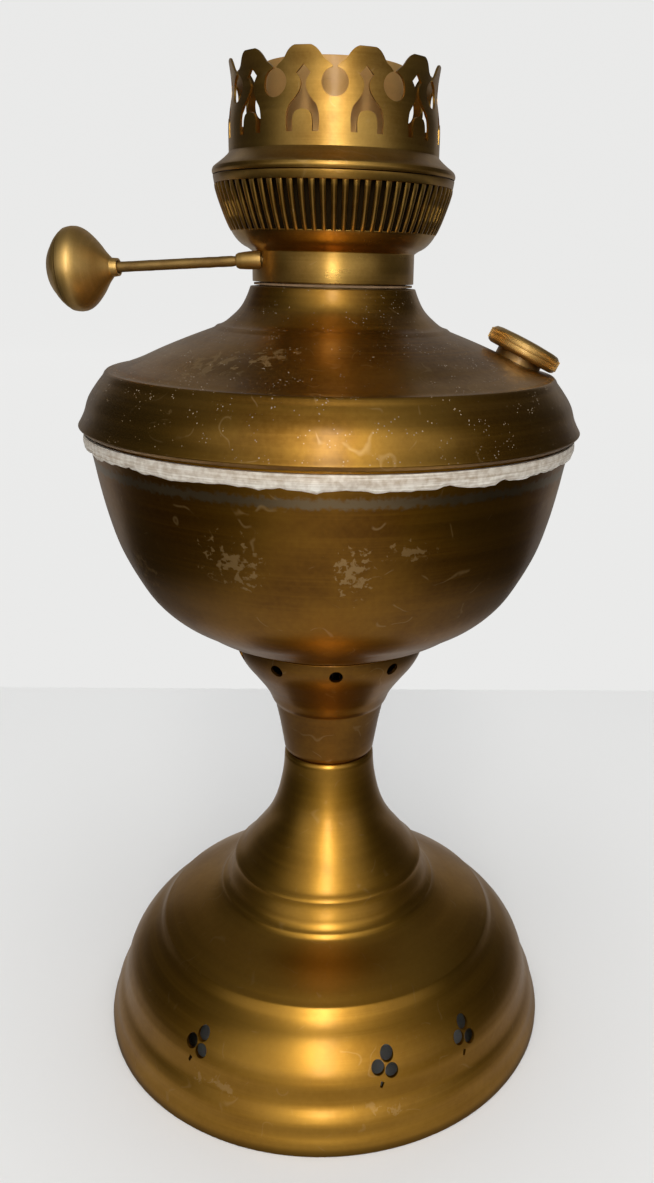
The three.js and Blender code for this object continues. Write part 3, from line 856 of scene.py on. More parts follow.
@dataclass
class Foot:
    """The spun foot with its punched clubs, and the cup that carries the font."""

    wall: float = 0.8
    radius: float = reach_of("base_shell")
    height: float = top_of("base_shell")
    club_height: float = 22.6
    club_lobe: float = 1.9
    club_spread: float = 2.3
    club_lean: float = 18.0
    club_angles: tuple[float, ...] = (-125.2, -74.7, -50.6, 54.8, 105.3, 129.4)
    cup_foot: float = top_of("base_shell") + 0.3
    cup_top: float = top_of("stem_cup")
    cup_holes: int = 10
    cup_hole: float = 1.9
    cup_hole_start: float = -86.3

    def shell_outline(self) -> list[Point]:
        """The foot's outer face from the table to the waist, as a closed sheet."""
        r, top = self.radius, self.height
        line = face_line(
            [(r, 0), (r, 2.0)],
            [(69.7, 3.4), (68.9, 5.6), (68.2, 8.6)],
            [(67.3, 10.6), (66, 13), (65.2, 15.6), (64.5, 18.5)],
            [(63.2, 21.6), (61, 25), (58.4, 28.0), (55.3, 30.6)],
            [(53.6, 32.3), (52.9, 33.5), (52.2, 34.5), (51.2, 35.1)],
            [(50.0, 35.9), (46.4, 38), (42.8, 39.8), (39.1, 41.5), (36.4, 42.9), (34.9, 43.8)],
            [(34.2, 44.4), (33.8, 45.1), (33.1, 45.6)],
            [(32.2, 46.4), (31.3, 48.6), (30.3, 51.2), (29.9, 52.4)],
            [(29.8, 53.2), (29.3, 53.9), (28.6, 54.4)],
            [
                (27.8, 55.2), (26.2, 57.2), (24.4, 59.5), (21.2, 63.6), (18.6, 67.8), (16.4, 73.0), (15, 78.3),
                (14.0, 84.4), (13.72, top - 1.1),
            ],
            [(13.45, top - 0.5), (13.0, top)],
        )
        return eased(walled(line, self.wall), 0.4)

    def club(self) -> list[bpy.types.Mesh]:
        """The cutters for one club: three lobes and a stem slit."""
        lean = Matrix.Translation((0, 0, self.club_height)) @ Matrix.Rotation(math.radians(-self.club_lean), 4, "X")
        shapes = []
        for turn in (90, 210, 330):
            a = math.radians(turn)
            across, up = self.club_spread * math.cos(a), self.club_spread * math.sin(a)
            shapes.append([(across + x, z) for x, z in circle(self.club_lobe, up, 26)])
        shapes.append([(-0.4, -5.9), (0.35, -6.0), (0.55, -4.3), (-0.5, -4.2)])
        return [bar("club", shape, self.radius - 22, self.radius + 2, lean) for shape in shapes]

    def build(self, shop: Workshop) -> None:
        """Builds the foot and the cup.

        Args:
            shop: Where the pieces are dressed and handed over.
        """
        shell = lathe("base_shell", self.shell_outline(), wobble=dents(0.22, 3.0))
        clubs = []
        for angle in self.club_angles:
            for lobe in self.club():
                lobe.transform(Matrix.Rotation(math.radians(angle), 4, "Z"))
                clubs.append(lobe)
        shop.hand_over("foot_shell", cut(shell, clubs), FOOT_BRASS, Slot.AGED, Body.ROOT, "base_shell")

        low, top = self.cup_foot, self.cup_top
        spigot = 13.6 - self.wall - 0.3
        line = face_line(
            [(spigot, foot_of("stem_cup")), (spigot, low)],
            [(13.0, low), (13.35, low + 0.35), (13.65, low + 0.9)],
            [(14.4, low + 5.5), (15.3, low + 10.7), (16.5, low + 16.2)],
            [(17.2, low + 17.0), (17.6, low + 17.9)],
            [
                (18.5, low + 20.0), (19.7, low + 22), (22.7, low + 26.1), (25.75, low + 30.2), (27.6, low + 34),
                (28.4, top),
            ],
        )
        cup = lathe("stem_cup", eased(walled(line, self.wall), 0.4))
        hole = bar("hole", circle(self.cup_hole, 0, 24), -5, 5)
        hole.transform(
            Matrix.Translation(Vector((27.4, 0, low + 34)) * MM) @ Matrix.Rotation(math.radians(30), 4, "Y")
        )
        holes = shop.copies.grow("cup_holes", hole, Count=self.cup_holes, Start=math.radians(self.cup_hole_start))
        shop.hand_over("cup", cut(cup, [holes]), CUP_BRASS, Slot.AGED, Body.ROOT, "stem_cup")


@dataclass
class Font:
    """The bowl that holds the oil, its soldered rim, its shoulder and its mouths."""

    wall: float = 0.8
    bowl_foot: float = foot_of("font_bowl")
    bowl_top: float = top_of("font_bowl")
    mouth: float = 28.4
    rim: float = reach_of("font_shoulder")
    neck_top: float = top_of("font_shoulder")
    filler_bore: float = 5.6
    filler_wall: float = 1.0
    seat: Matrix | None = None

    def build_bowl(self, shop: Workshop) -> None:
        """The bowl and the band of solder under its rim."""
        z = self.bowl_foot
        line = face_line(
            [(0, z), (self.mouth, z)],
            [
                (31.9, z + 1.7), (37.1, z + 3.9), (41.2, z + 6.6), (45.9, z + 9.6), (51.4, z + 15), (55.8, z + 22.2),
                (59.6, z + 30.4), (62.1, z + 38.8), (63.9, z + 46.9), (65.3, z + 54.6), (66, z + 58.0),
            ],
            [(66, self.bowl_top)],
        )
        outline = walled(line, self.wall)
        outline[-1] = (0, outline[-1][1])
        bowl = lathe("font_bowl", eased(outline, EASE, closed=False), wobble=dents(0.3, 11.0, 0.022))
        shop.hand_over("font_bowl_spun", bowl, BOWL_BRASS, Slot.DARK, Body.ROOT, "font_bowl")

        low, high = foot_of("rim_solder"), top_of("rim_solder")

        def ragged(angle: float, radius: float, height: float) -> Point:
            """Solder that ran out unevenly along its lower edge."""
            place = Vector((math.cos(angle), math.sin(angle), 0))
            share = max(0.0, min(1.0, (high - height) / (high - low)))
            run = noise.noise(place * 9) * 0.9 + noise.noise(place * 31) * 0.5 + 0.25
            lump = noise.noise(Vector((place.x * 16, place.y * 16, height * 0.6)))
            thin = 0.22 * lump if radius > 66.4 else 0.0
            return thin, run * share

        band = [
            (66.05, low), (66.25, low + 0.1), (66.9, low + 0.8), (67.15, low + 1.7), (67.2, low + 2.6),
            (67.1, low + 3.5), (67.0, high), (66.05, high),
        ]
        shop.hand_over(
            "solder_band", lathe("rim_solder", band, 256, ragged), SOLDER, Slot.SOLDER, Body.ROOT, "rim_solder"
        )

    def build_shoulder(self, shop: Workshop) -> None:
        """The shoulder with its filler, and the collar inside its mouth."""
        rim_z = self.bowl_top - 0.6
        top = self.neck_top
        line = face_line(
            [(67.2, rim_z - 1.2), (self.rim, rim_z)],
            [
                (67.9, rim_z + 1.0), (66.8, rim_z + 3.2), (65.6, rim_z + 6.8), (63.3, rim_z + 10.4),
                (61.5, rim_z + 12.7),
            ],
            [(61.1, rim_z + 13.5), (60.5, rim_z + 14.1), (59.8, rim_z + 14.0)],
            [
                (58.9, rim_z + 14.2), (57.2, rim_z + 14.8), (52.8, rim_z + 16.4), (46.4, rim_z + 19.3),
                (39.1, rim_z + 22.3), (32.2, rim_z + 24.9),
            ],
            [(31.3, rim_z + 25.6), (30.5, rim_z + 25.8)],
            [(29.6, rim_z + 26.2), (27.3, rim_z + 27.9), (24.7, rim_z + 30.5), (23, rim_z + 33.6), (22.1, top)],
        )
        shell = lathe("font_shoulder", eased(walled(line, self.wall), 0.3), wobble=dents(0.16, 23.0, 0.03))
        reach = self.filler_bore + self.filler_wall + 0.3
        hole = lathe("hole", [(0, -4), (reach, -4), (reach, 5), (0, 5)], 64, place=self.seat)
        shop.hand_over("font_shoulder_spun", cut(shell, [hole]), SHOULDER_BRASS, Slot.DARK, Body.ROOT, "font_shoulder")

        outer, low = reach_of("font_collar"), foot_of("font_collar")
        ring = lathe("font_collar", eased([(outer - 1.1, low), (outer, low), (outer, top), (outer - 1.1, top)], 0.2))
        ridge = shop.thread.grow(
            "collar_thread", mesh_of("none", [], []), Radius=(outer - 1.1) * MM, Ridge=0.12 * MM, Turns=6.0,
            Length=10.5 * MM, Foot=(low + 1.0) * MM,
        )
        shop.hand_over(
            "collar", joined("collar", [ring, ridge]), PLAIN_BRASS, Slot.DARK, Body.ROOT, "font_collar"
        )

    def build_filler(self, shop: Workshop) -> None:
        """The filler's tube, and the cap on it."""
        bore, outer = self.filler_bore, self.filler_bore + self.filler_wall
        tube = eased([(bore, -5), (outer, -5), (outer, 3.4), (bore, 3.4)], 0.25)
        shop.hand_over(
            "filler_tube", lathe("filler_neck", tube, SMALL_FACETS, place=self.seat), PLAIN_BRASS, Slot.AGED,
            Body.ROOT, "filler_neck",
        )
        under, foot, top, wide = 4.8, 1.2, 6.0, 10.5
        outline = [
            (0, under), (outer + 1.3, under), (outer + 1.3, 3.7), (outer + 0.3, 3.4), (outer + 0.3, foot),
            (wide - 1.3, foot), (wide - 0.5, foot + 0.35), (wide - 0.1, foot + 1.0), (wide, foot + 1.9),
            (wide - 0.14, foot + 2.15), (wide, foot + 2.4), (wide - 0.05, foot + 3.1), (wide - 0.4, foot + 3.9),
            (wide - 1.1, top - 0.25), (wide - 2.4, top - 0.02), (4.0, top + 0.2), (0, top + 0.3),
        ]
        cap = lathe("filler_cap", outline, 96, place=self.seat)
        low, high, half = foot + 0.9, top - 1.1, 0.1
        rib = bar("rib", [(-half, low), (half, low), (half, high), (-half, high)], wide - 0.5, wide + 0.05)
        knurl = shop.copies.grow("knurl", rib, Count=120, Start=0.0)
        knurl.transform(Matrix.Translation(self.seat.to_translation() * MM) @ self.seat.to_3x3().to_4x4())
        finish = Brass(
            "cap_brass", (0.72, 0.46, 0.15), (0.42, 0.24, 0.06), 0.36, tarnish=0.5, spread=12, turned=self.seat
        )
        shop.hand_over("cap", joined("cap", [cap, knurl]), finish, Slot.BRIGHT, Body.CAP, "filler_cap")

    def build(self, shop: Workshop) -> None:
        """Builds the whole font.

        Args:
            shop: Where the pieces are dressed and handed over.
        """
        self.seat = axle("filler_cap_turn", "filler_cap", 6.3)
        self.build_bowl(shop)
        self.build_shoulder(shop)
        self.build_filler(shop)


@dataclass
class Burner:
    """The burner's basket with its ribs, its thread, its wick tubes and the wick."""

    wall: float = 0.5
    neck: float = 21.5
    screw: float = 19.6
    foot: float = foot_of("burner_basket")
    top: float = top_of("burner_basket")
    radius: float = reach_of("burner_basket")
    ribs: int = 72
    rib_width: float = 1.32
    tube_radius: float = 18.2
    tube_flat: float = 9.3
    wick_thickness: float = 2.4
    wick_fit: float = 0.3
    bend_foot: float = foot_of("burner_basket") + 14.0
    bend_height: float = 11.0
    duct_climb: float = 20.0
    duct_width: float = 9.0
    duct_height: float = 7.0
    channel: Matrix | None = None

    def cone(self) -> list[Point]:
        """The basket's outer face, from its shelf to its rim."""
        shelf = self.foot + 8
        return [
            (self.neck, shelf), (22.6, shelf + 0.35), (24.3, shelf + 1.3), (26.4, shelf + 3.6), (27.7, shelf + 6.4),
            (28.9, shelf + 9.6), (30.2, shelf + 13.2), (30.95, shelf + 15.6), (self.radius, self.top),
        ]

    def build_basket(self, shop: Workshop) -> None:
        """The neck, the cone of ribs with open gaps between them, the rim, and a near-black cone of painted shade
        behind the gaps.
        """
        cone = smooth_run(self.cone())
        low, high = self.foot + 13, self.top - 2
        below = [p for p in cone if p[1] <= low + 0.4]
        above = [p for p in cone if p[1] >= high - 0.4]
        neck = [(self.neck, self.foot), (self.neck, self.foot + 4), (self.neck, self.foot + 7.6)]
        lower = lathe("neck", eased(walled([*neck, *below[1:]], self.wall), 0.2))
        upper = lathe("rim", eased(walled(above, self.wall), 0.15))
        frame_z = axle("winder_turn", "winder_shaft", 50.9)
        hole = lathe("hole", [(0, -8), (2.4, -8), (2.4, 8), (0, 8)], 40, place=frame_z)
        lower = cut(lower, [hole])

        # A near-black cone just behind the gaps between the ribs: painted shade for the dark inside of the basket.
        screen = [(24.6, self.foot + 10.6), (24.9, self.foot + 10.6), (27.0, self.top - 0.6), (26.7, self.top - 0.6)]
        shop.hand_over("air_screen", lathe("screen", screen), SHADE_SCREEN_BRASS, Slot.BRIGHT, Body.BURNER)

        path = [p for p in cone if low - 0.6 <= p[1] <= high + 0.6]
        points, faces = [], []
        section = [(-0.5, -0.35), (0.5, -0.35), (0.5, 0.05), (0.33, 0.33), (0.0, 0.45), (-0.33, 0.33), (-0.5, 0.05)]
        count = len(section)
        for i, (r, z) in enumerate(path):
            share = i / (len(path) - 1)
            swell = math.sin(math.pi * share) ** 0.5
            width = self.rib_width * (0.9 + 0.22 * share)
            for across, out in section:
                points.append((r - 0.12 + out * (0.35 + 0.65 * swell), across * width, z - 0.3 * out))
        for i in range(len(path) - 1):
            for j in range(count):
                k = (j + 1) % count
                faces.append((i * count + j, i * count + k, (i + 1) * count + k, (i + 1) * count + j))
        faces += [tuple(range(count)), tuple(range((len(path) - 1) * count, len(path) * count))]
        rib = mesh_of("rib", points, faces)
        outwards(rib)
        ribs = shop.copies.grow("ribs", rib, Count=self.ribs, Start=0.0)
        shop.hand_over(
            "basket", joined("basket", [lower, upper, ribs]), BURNER_BRASS, Slot.BRIGHT, Body.BURNER, "burner_basket"
        )

    def build_thread(self, shop: Workshop) -> None:
        """The screw that holds the burner in the font."""
        foot, head = foot_of("burner_thread"), top_of("burner_thread")
        core, bore = self.screw - 0.2, self.screw - 1.2
        step = self.foot + 0.3
        flange = self.neck - self.wall - 0.3
        outline = [(bore, foot), (core, foot), (core, step), (flange, step), (flange, head), (bore, head)]
        ridge = shop.thread.grow(
            "screw", mesh_of("none", [], []), Radius=core * MM, Ridge=0.2 * MM, Turns=6.0, Length=9.0 * MM,
            Foot=(foot + 0.8) * MM,
        )
        thread = joined("thread", [lathe("burner_thread", eased(outline, 0.2)), ridge])
        shop.hand_over("screw_thread", thread, PLAIN_BRASS, Slot.BRIGHT, Body.BURNER, "burner_thread")

    def channel_tube(
        self, name: str, radius: float, flat: float, wall: float, foot: float, top: float
    ) -> bpy.types.Mesh:
        """A tube whose front is flat below the bend and round above it.

        Args:
            name: The mesh's name.
            radius: Outer radius.
            flat: From the axis to the flat front.
            wall: Its thickness.
            foot: Height of its lower edge.
            top: Height of its upper edge.

        Returns:
            The closed tube, set square in the wick channel's frame.
        """
        facets = 96
        angles = [TAU * j / facets for j in range(facets)]
        ease = 0.2 if wall < 1 else 0.6
        bend = [z for z in (self.bend_foot + self.bend_height * i / 8 for i in range(9)) if foot < z]
        levels = [foot, foot + ease, *bend, (self.bend_foot + self.bend_height + top) / 2, top - ease, top]

        def rows(inset: float) -> list[list[Vector]]:
            """One face of the wall, level by level."""
            made = []
            for i, z in enumerate(levels):
                at_end = ease * 0.7 if i in (0, len(levels) - 1) else 0.0
                skin = inset + (at_end if inset < wall / 2 else -at_end)
                share = max(0.0, min(1.0, (z - self.bend_foot) / self.bend_height))
                share = share * share * (3 - 2 * share)
                r = radius - skin
                front = (flat - skin) * (1 - share) + r * share
                made.append([Vector((r * math.cos(a), max(r * math.sin(a), -front), z)) for a in angles])
            return made

        stack = [*rows(0.0), *reversed(rows(wall))]
        points = [p for row in stack for p in row]
        faces = []
        for i in range(len(stack)):
            for j in range(facets):
                a, b = i * facets + j, i * facets + (j + 1) % facets
                above = ((i + 1) % len(stack)) * facets
                faces.append((a, b, above + (j + 1) % facets, above + j))
        made = mesh_of(name, points, faces)
        outwards(made)
        return made

    def build_tubes(self, shop: Workshop) -> None:
        """The two tubes of the wick's channel, and the wick between them."""
        turn = self.channel
        duct_z = self.foot + self.duct_climb

        def window(clear: float, low: float = 0.0, high: float = 0.0) -> bpy.types.Mesh:
            """A cutter for the air duct's way through."""
            bottom = low or duct_z - self.duct_height / 2 - clear
            upper = high or duct_z + self.duct_height / 2 + clear
            size = (self.duct_width + 2 * clear, 2 * self.tube_radius - 8, upper - bottom)
            return block("window", (0, self.tube_radius, (bottom + upper) / 2), size)

        tube_foot, tube_top = foot_of("outer_wick_tube"), top_of("outer_wick_tube")
        tube = self.channel_tube("tube", self.tube_radius, self.tube_flat, self.wall, tube_foot, tube_top)
        slots = []
        for node in ("star_wheel_1", "star_wheel_2"):
            low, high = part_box(node)
            centre = turn.inverted() @ ((low + high) / 2 / MM)
            slots.append(block("slot", (centre.x, -self.tube_flat, centre.z), (2.6, 3.0, 8.8)))
        tube = cut(tube, [*slots, window(0.3)])
        outer = self.tube_radius - self.wall - self.wick_fit
        inner = outer - self.wick_thickness
        wick_flat = self.tube_flat - self.wall - 0.2
        floor_z, draft_top = foot_of("draft_tube"), top_of("draft_tube")
        reach, front = inner - self.wick_fit, wick_flat - self.wick_thickness - self.wick_fit
        draft = self.channel_tube("draft", reach, front, self.wall, floor_z + 0.3, draft_top)
        draft = cut(draft, [window(0.3)])
        shape = [(0, floor_z), (reach - 0.4, floor_z), (reach - 0.4, floor_z + 0.6), (0, floor_z + 0.6)]
        floor = lathe("floor", shape, 96)
        for vertex in floor.vertices:
            vertex.co.y = max(vertex.co.y, (0.2 - front) * MM)
        wick_foot, wick_top = foot_of("wick"), top_of("wick")
        wick = self.channel_tube("wick", outer, wick_flat, self.wick_thickness, wick_foot, wick_top)
        wick = cut(wick, [window(1.0, wick_foot - 2, duct_z + 15)])
        for mesh in (tube, draft, floor, wick):
            mesh.transform(turn)
        shop.hand_over("wick_tube", tube, TUBE_BRASS, Slot.BRIGHT, Body.BURNER, "outer_wick_tube")
        inside = joined("draft", [draft, floor])
        shop.hand_over("draft_tube_round", inside, TUBE_BRASS, Slot.BRIGHT, Body.BURNER, "draft_tube")
        charred = Grey("wick_cotton", (0.52, 0.45, 0.33), (0.36, 0.29, 0.19), 0.95, 0.0, 0.35, 0.8, True, wick_top)
        shop.hand_over("cotton_wick", wick, charred, Slot.COTTON, Body.WICK, "wick")

    def build(self, shop: Workshop) -> None:
        """Builds the burner but for its winder and gallery.

        Args:
            shop: Where the pieces are dressed and handed over.
        """
        along = next(j for j in frame["joints"] if j["name"] == "winder_turn")["axis"]
        self.channel = Matrix.Rotation(math.atan2(along[1], along[0]), 4, "Z")
        self.build_basket(shop)
        self.build_thread(shop)
        self.build_tubes(shop)


@dataclass
class Winder:
    """The wick's winder: a bush in the neck, a long shaft and a hollow knob."""

    shaft: float = 1.2
    sleeve: float = 0.15
    fit: float = 0.08
    bush: float = 2.3
    reach: float = 48.9
    knob: float = 10.8
    cone: float = 9.6
    dome: float = 7.15

    def build(self, shop: Workshop) -> None:
        """Builds the bush, the shaft and the knob.

        Args:
            shop: Where the pieces are dressed and handed over.
        """
        place = axle("winder_turn", "winder_shaft", self.reach + 2)
        finish = Brass(
            "knob_brass", (0.78, 0.50, 0.16), (0.42, 0.23, 0.05), 0.36, spread=11, pitch=0.35, tarnish=0.62,
            depth=0.03, turned=place,
        )
        rod_finish = Brass(
            "rod_brass", (0.46, 0.29, 0.09), (0.22, 0.12, 0.035), 0.46, spread=6, tarnish=0.8, depth=0.05,
            turned=place,
        )
        bore = self.shaft + self.fit
        bush = [
            (bore, -1.2), (self.bush, -1.2), (self.bush, 1.0), (self.bush - 0.12, 3.2), (self.bush - 0.28, 4.9),
            (self.bush - 0.6, 5.6), (bore, 5.6),
        ]
        bush_mesh = lathe("bush", eased(bush, 0.15), 48, place=place)
        shop.hand_over("shaft_bush", bush_mesh, finish, Slot.BRIGHT, Body.BURNER, "winder_bush")
        tip = min((place.inverted() @ (v.co / MM)).z for v in frame["nodes"]["winder_shaft"].data.vertices)
        thick, end = self.shaft + self.sleeve, self.reach - self.cone - 1
        steps, sleeve_foot = 26, 7.0
        shaft = [(0, tip), (self.shaft - 0.2, tip), (self.shaft, tip + 0.2), (self.shaft, 5.9), (thick, sleeve_foot)]
        for i in range(1, steps):
            z = sleeve_foot + (end - sleeve_foot) * i / steps
            shaft.append((thick + 0.07 * noise.noise(Vector((z * 0.5, 0, 4))) - 0.02, z))
        shaft += [(thick, end), (self.shaft, end), (self.shaft, self.reach + 2), (0, self.reach + 2)]
        shop.hand_over(
            "shaft", lathe("shaft", shaft, 32, place=place), rod_finish, Slot.AGED, Body.WINDER, "winder_shaft"
        )
        wall, r = 0.6, self.knob
        collar = thick + 0.3 + wall
        low = self.reach
        back = face_line(
            [(collar, low - self.cone - 1.8), (collar + 0.2, low - self.cone)],
            [
                (4.6, low - 7.6), (6.3, low - 6.3), (7.8, low - 5), (9.0, low - 3.8), (10.0, low - 2.6),
                (10.7, low - 1.1), (r, low),
            ],
            [(r - 0.1, low + 0.9), (r - 0.3, low + 1.8)],
        )
        shop.hand_over(
            "knob_cone", lathe("cone", eased(walled(back, wall), 0.15), SMALL_FACETS, place=place), finish,
            Slot.BRIGHT, Body.WINDER, "knob_back",
        )
        crimp = r - wall - 1.2
        dome = face_line(
            [(self.shaft + 0.3, low + 0.6), (crimp, low + 0.6)],
            [(crimp + 0.2, low + 2.1)],
            [(r - 0.7, low + 2.1)],
            [
                (r - 0.9, low + 2.6), (r - 1.8, low + 3.6), (r - 3.4, low + 4.9), (5.6, low + 6.2), (2.8, low + 6.8),
                (0, low + self.dome),
            ],
        )
        outline = [(0, low + 2.3), (self.shaft + 0.3, low + 2.3), *dome]
        dome_mesh = lathe("dome", outline, SMALL_FACETS, place=place)
        shop.hand_over("knob_dome", dome_mesh, finish, Slot.BRIGHT, Body.WINDER, "knob_face")


@dataclass
class Gallery:
    """The pierced crown that holds the chimney."""

    wall: float = 0.6
    foot: float = foot_of("gallery")
    top: float = top_of("gallery")
    radius: float = 27.1
    lip: float = reach_of("gallery")
    prongs: int = 11
    hole: float = 3.15
    hole_drop: float = 7.7

    def notch(self, hole_z: float) -> list[Point]:
        """What is open between two prongs, down to the round hole."""
        repeat = TAU * self.radius / self.prongs
        side = repeat / 2 - 1.2
        run = [(0.5, 2.0), (0.5, 3.3), (1.3, 4.0), (2.4, 4.7), (3.4, 6.0), (4.4, 7.0), (side - 0.8, 7.65), (side, 7.8)]
        half = [*smooth_run(run), (side, 10)]
        return [(x, hole_z + z) for x, z in half] + [(-x, hole_z + z) for x, z in reversed(half)]

    def fork(self, hole_z: float) -> list[Point]:
        """The forked opening in the middle of a prong, round an arched tongue."""
        curve = smooth_run(
            [
                (1.75, 1.9), (0.95, 0.9), (0.65, 0.1), (0.75, -1.3), (2.0, -3.4), (3.5, -5.2), (3.95, -6.6),
                (3.95, -10.6),
            ]
        )
        arch = smooth_run([(2.4, -10.6), (2.35, -7.6), (1.75, -6.3), (0.0, -5.75)])
        half = [(0.0, 3.7), *curve, *arch]
        return [(x, hole_z + z) for x, z in half] + [(-x, hole_z + z) for x, z in reversed(half[1:-1])]

    def build(self, shop: Workshop) -> None:
        """Builds the crown.

        Args:
            shop: Where the piece is dressed and handed over.
        """
        z, r = self.foot, self.radius
        wall_foot = z + 5.3
        hole_z = z + 26.5 - self.hole_drop
        line = face_line(
            [
                (self.lip - 0.25, z), (self.lip - 0.05, z + 0.5), (self.lip, z + 1.0), (self.lip - 0.25, z + 1.7),
                (30.7, z + 2.2),
            ],
            [(29.6, z + 3.0), (28.6, z + 3.8), (27.6, z + 4.7), (r, wall_foot)],
            [
                (r, wall_foot + 2.5), (r, wall_foot + 5), (r - 0.1, wall_foot + 7.5), (r - 0.6, wall_foot + 10.5),
                (r - 1.1, hole_z), (r - 1.05, hole_z + 3), (r - 0.5, z + 26.4),
            ],
        )

        def bent(angle: float, radius: float, height: float) -> Point:
            """Prongs that have been bent a little in or out."""
            share = max(0.0, (height - wall_foot) / (self.top - wall_foot))
            return 0.55 * share**2 * noise.noise(Vector((math.cos(angle) * 2.2, math.sin(angle) * 2.2, 7))), 0.0

        crown = lathe("gallery", eased(walled(line, self.wall), 0.15), self.prongs * 24, bent)
        near, far, front = r - 6, r + 3, math.radians(-90)
        hole = bar("hole", circle(self.hole, hole_z, 40), near, far)
        notch = bar("notch", self.notch(hole_z), near, far)
        fork = bar("fork", self.fork(hole_z), near, far)
        crown = cut(crown, [shop.copies.grow("holes", hole, Count=self.prongs, Start=front)])
        crown = cut(crown, [shop.copies.grow("notches", notch, Count=self.prongs, Start=front)])
        crown = cut(crown, [shop.copies.grow("forks", fork, Count=self.prongs, Start=front + math.pi / self.prongs)])
        shop.hand_over("crown", crown, CROWN_BRASS, Slot.BRIGHT, Body.GALLERY, "gallery")


# ---------------------------------------------------------------- the finishes of this lamp

FOOT_BRASS = Brass(
    "foot_brass", light=(0.54, 0.275, 0.032), dark=(0.27, 0.115, 0.004), rough=0.22, tarnish=0.62, depth=0.016,
    scratched=0.18, dusty=0.05, spread=34,
    patches=(Patch((-30, -58, 14), (9, 9, 2.5), 0.35, 260.0), Patch((14, -62, 12), (12, 9, 3), 0.25, 260.0)),
)
CUP_BRASS = Brass("cup_brass", (0.38, 0.175, 0.016), (0.14, 0.05, 0.002), 0.22, tarnish=0.8, dusty=0.05)
BOWL_BRASS = Brass(
    "bowl_brass", light=(0.44, 0.205, 0.016), dark=(0.17, 0.062, 0.001), rough=0.23, tarnish=0.85, depth=0.024,
    pitch=0.7, spread=30, scratched=0.4, dusty=0.25,
    patches=(
        Patch((-22.5, -57, 166), (9.5, 8, 8.0), 0.55, 520.0),
        Patch((6.0, -62, 164), (6.5, 7, 8.5), 0.55, 620.0),
        Patch((19.0, -60, 169), (8.0, 8, 3.0), 0.45, 640.0),
        Patch((-50, -38, 158), (8.0, 12, 6.0), 0.40, 560.0),
    ),
    bands=(Band(181.2, 183.4, (0.30, 0.22, 0.12), 1.2),),
)
SHOULDER_BRASS = Brass(
    "shoulder_brass", light=(0.48, 0.25, 0.034), dark=(0.17, 0.070, 0.003), rough=0.23, tarnish=0.8, depth=0.036,
    pitch=0.9, spread=28, scratched=0.3, dusty=0.75,
    patches=(
        Patch((-14.0, -41, 211), (9.0, 6, 8.0), 0.8, 330.0),
        Patch((-30.0, -38, 209), (10.0, 8, 8.0), 0.6, 420.0),
        Patch((-38.5, -52.5, 199), (2.6, 3, 2.6), 0.45, 200.0),
    ),
)
BURNER_BRASS = Brass(
    "burner_brass", light=(0.60, 0.35, 0.075), dark=(0.24, 0.105, 0.008), rough=0.17, tarnish=0.7, spread=16,
    scratched=0.2, dusty=0.1, patches=(Patch((-10.5, -28.2, 243.4), (1.3, 2.5, 2.6), 1.0, 150.0),),
)
CROWN_BRASS = Brass(
    "crown_brass", light=(0.60, 0.35, 0.075), dark=(0.25, 0.11, 0.009), rough=0.22, tarnish=0.7, spread=15,
    scratched=0.25, dusty=0.1,
)
TUBE_BRASS = Brass("tube_brass", light=(0.90, 0.62, 0.26), dark=(0.70, 0.42, 0.14), rough=0.62, tarnish=0.5, spread=14)
# Near-black: the painted shade seen through the gaps between the basket's ribs.
SHADE_SCREEN_BRASS = Brass(
    "soot_brass", light=(0.05, 0.03, 0.012), dark=(0.02, 0.012, 0.005), rough=0.6, lacquer=0.0, scratched=0.0, dusty=0.0
)
PLAIN_BRASS = Brass("plain_brass", light=(0.44, 0.27, 0.09), dark=(0.24, 0.13, 0.04), rough=0.38, spread=12)
SOLDER = Grey("solder_grey", (0.92, 0.87, 0.78), (0.42, 0.32, 0.22), 0.5, 0.25, 0.12, 0.4)
STEEL = Grey("old_steel", (0.40, 0.38, 0.35), (0.16, 0.12, 0.09), 0.45, 1.0, 0.03, 0.6)
CORK = Grey("cork", (0.30, 0.19, 0.10), (0.14, 0.08, 0.04), 0.95, 0.0, 0.2, 0.7)

KEPT_NODES: dict[str, "Brass | Grey"] = {
    "font_boss": PLAIN_BRASS,
    "tie_rod": STEEL,
    "clamp_plate": STEEL,
    "lock_washer": STEEL,
    "tie_nut": STEEL,
    "burner_gasket": CORK,
    "filler_washer": CORK,
    "burner_deck": PLAIN_BRASS,
    "air_duct": PLAIN_BRASS,
    "shaft_lug": PLAIN_BRASS,
    "star_wheel_1": PLAIN_BRASS,
    "star_wheel_2": PLAIN_BRASS,
    "chimney_seat": TUBE_BRASS,
}


def dress_kept_nodes(shop: Workshop) -> None:
    """Gives each CAD node that is still shown its finish."""
    for node, finish in KEPT_NODES.items():
        shown = frame["nodes"][node]
        if not shown.material_slots:
            shown.data.materials.append(None)
        for slot in shown.material_slots:
            slot.material = shop.finish_of(finish)
        LOG.info("%s: dressed in %s", node, finish.name)


# ---------------------------------------------------------------- the studio


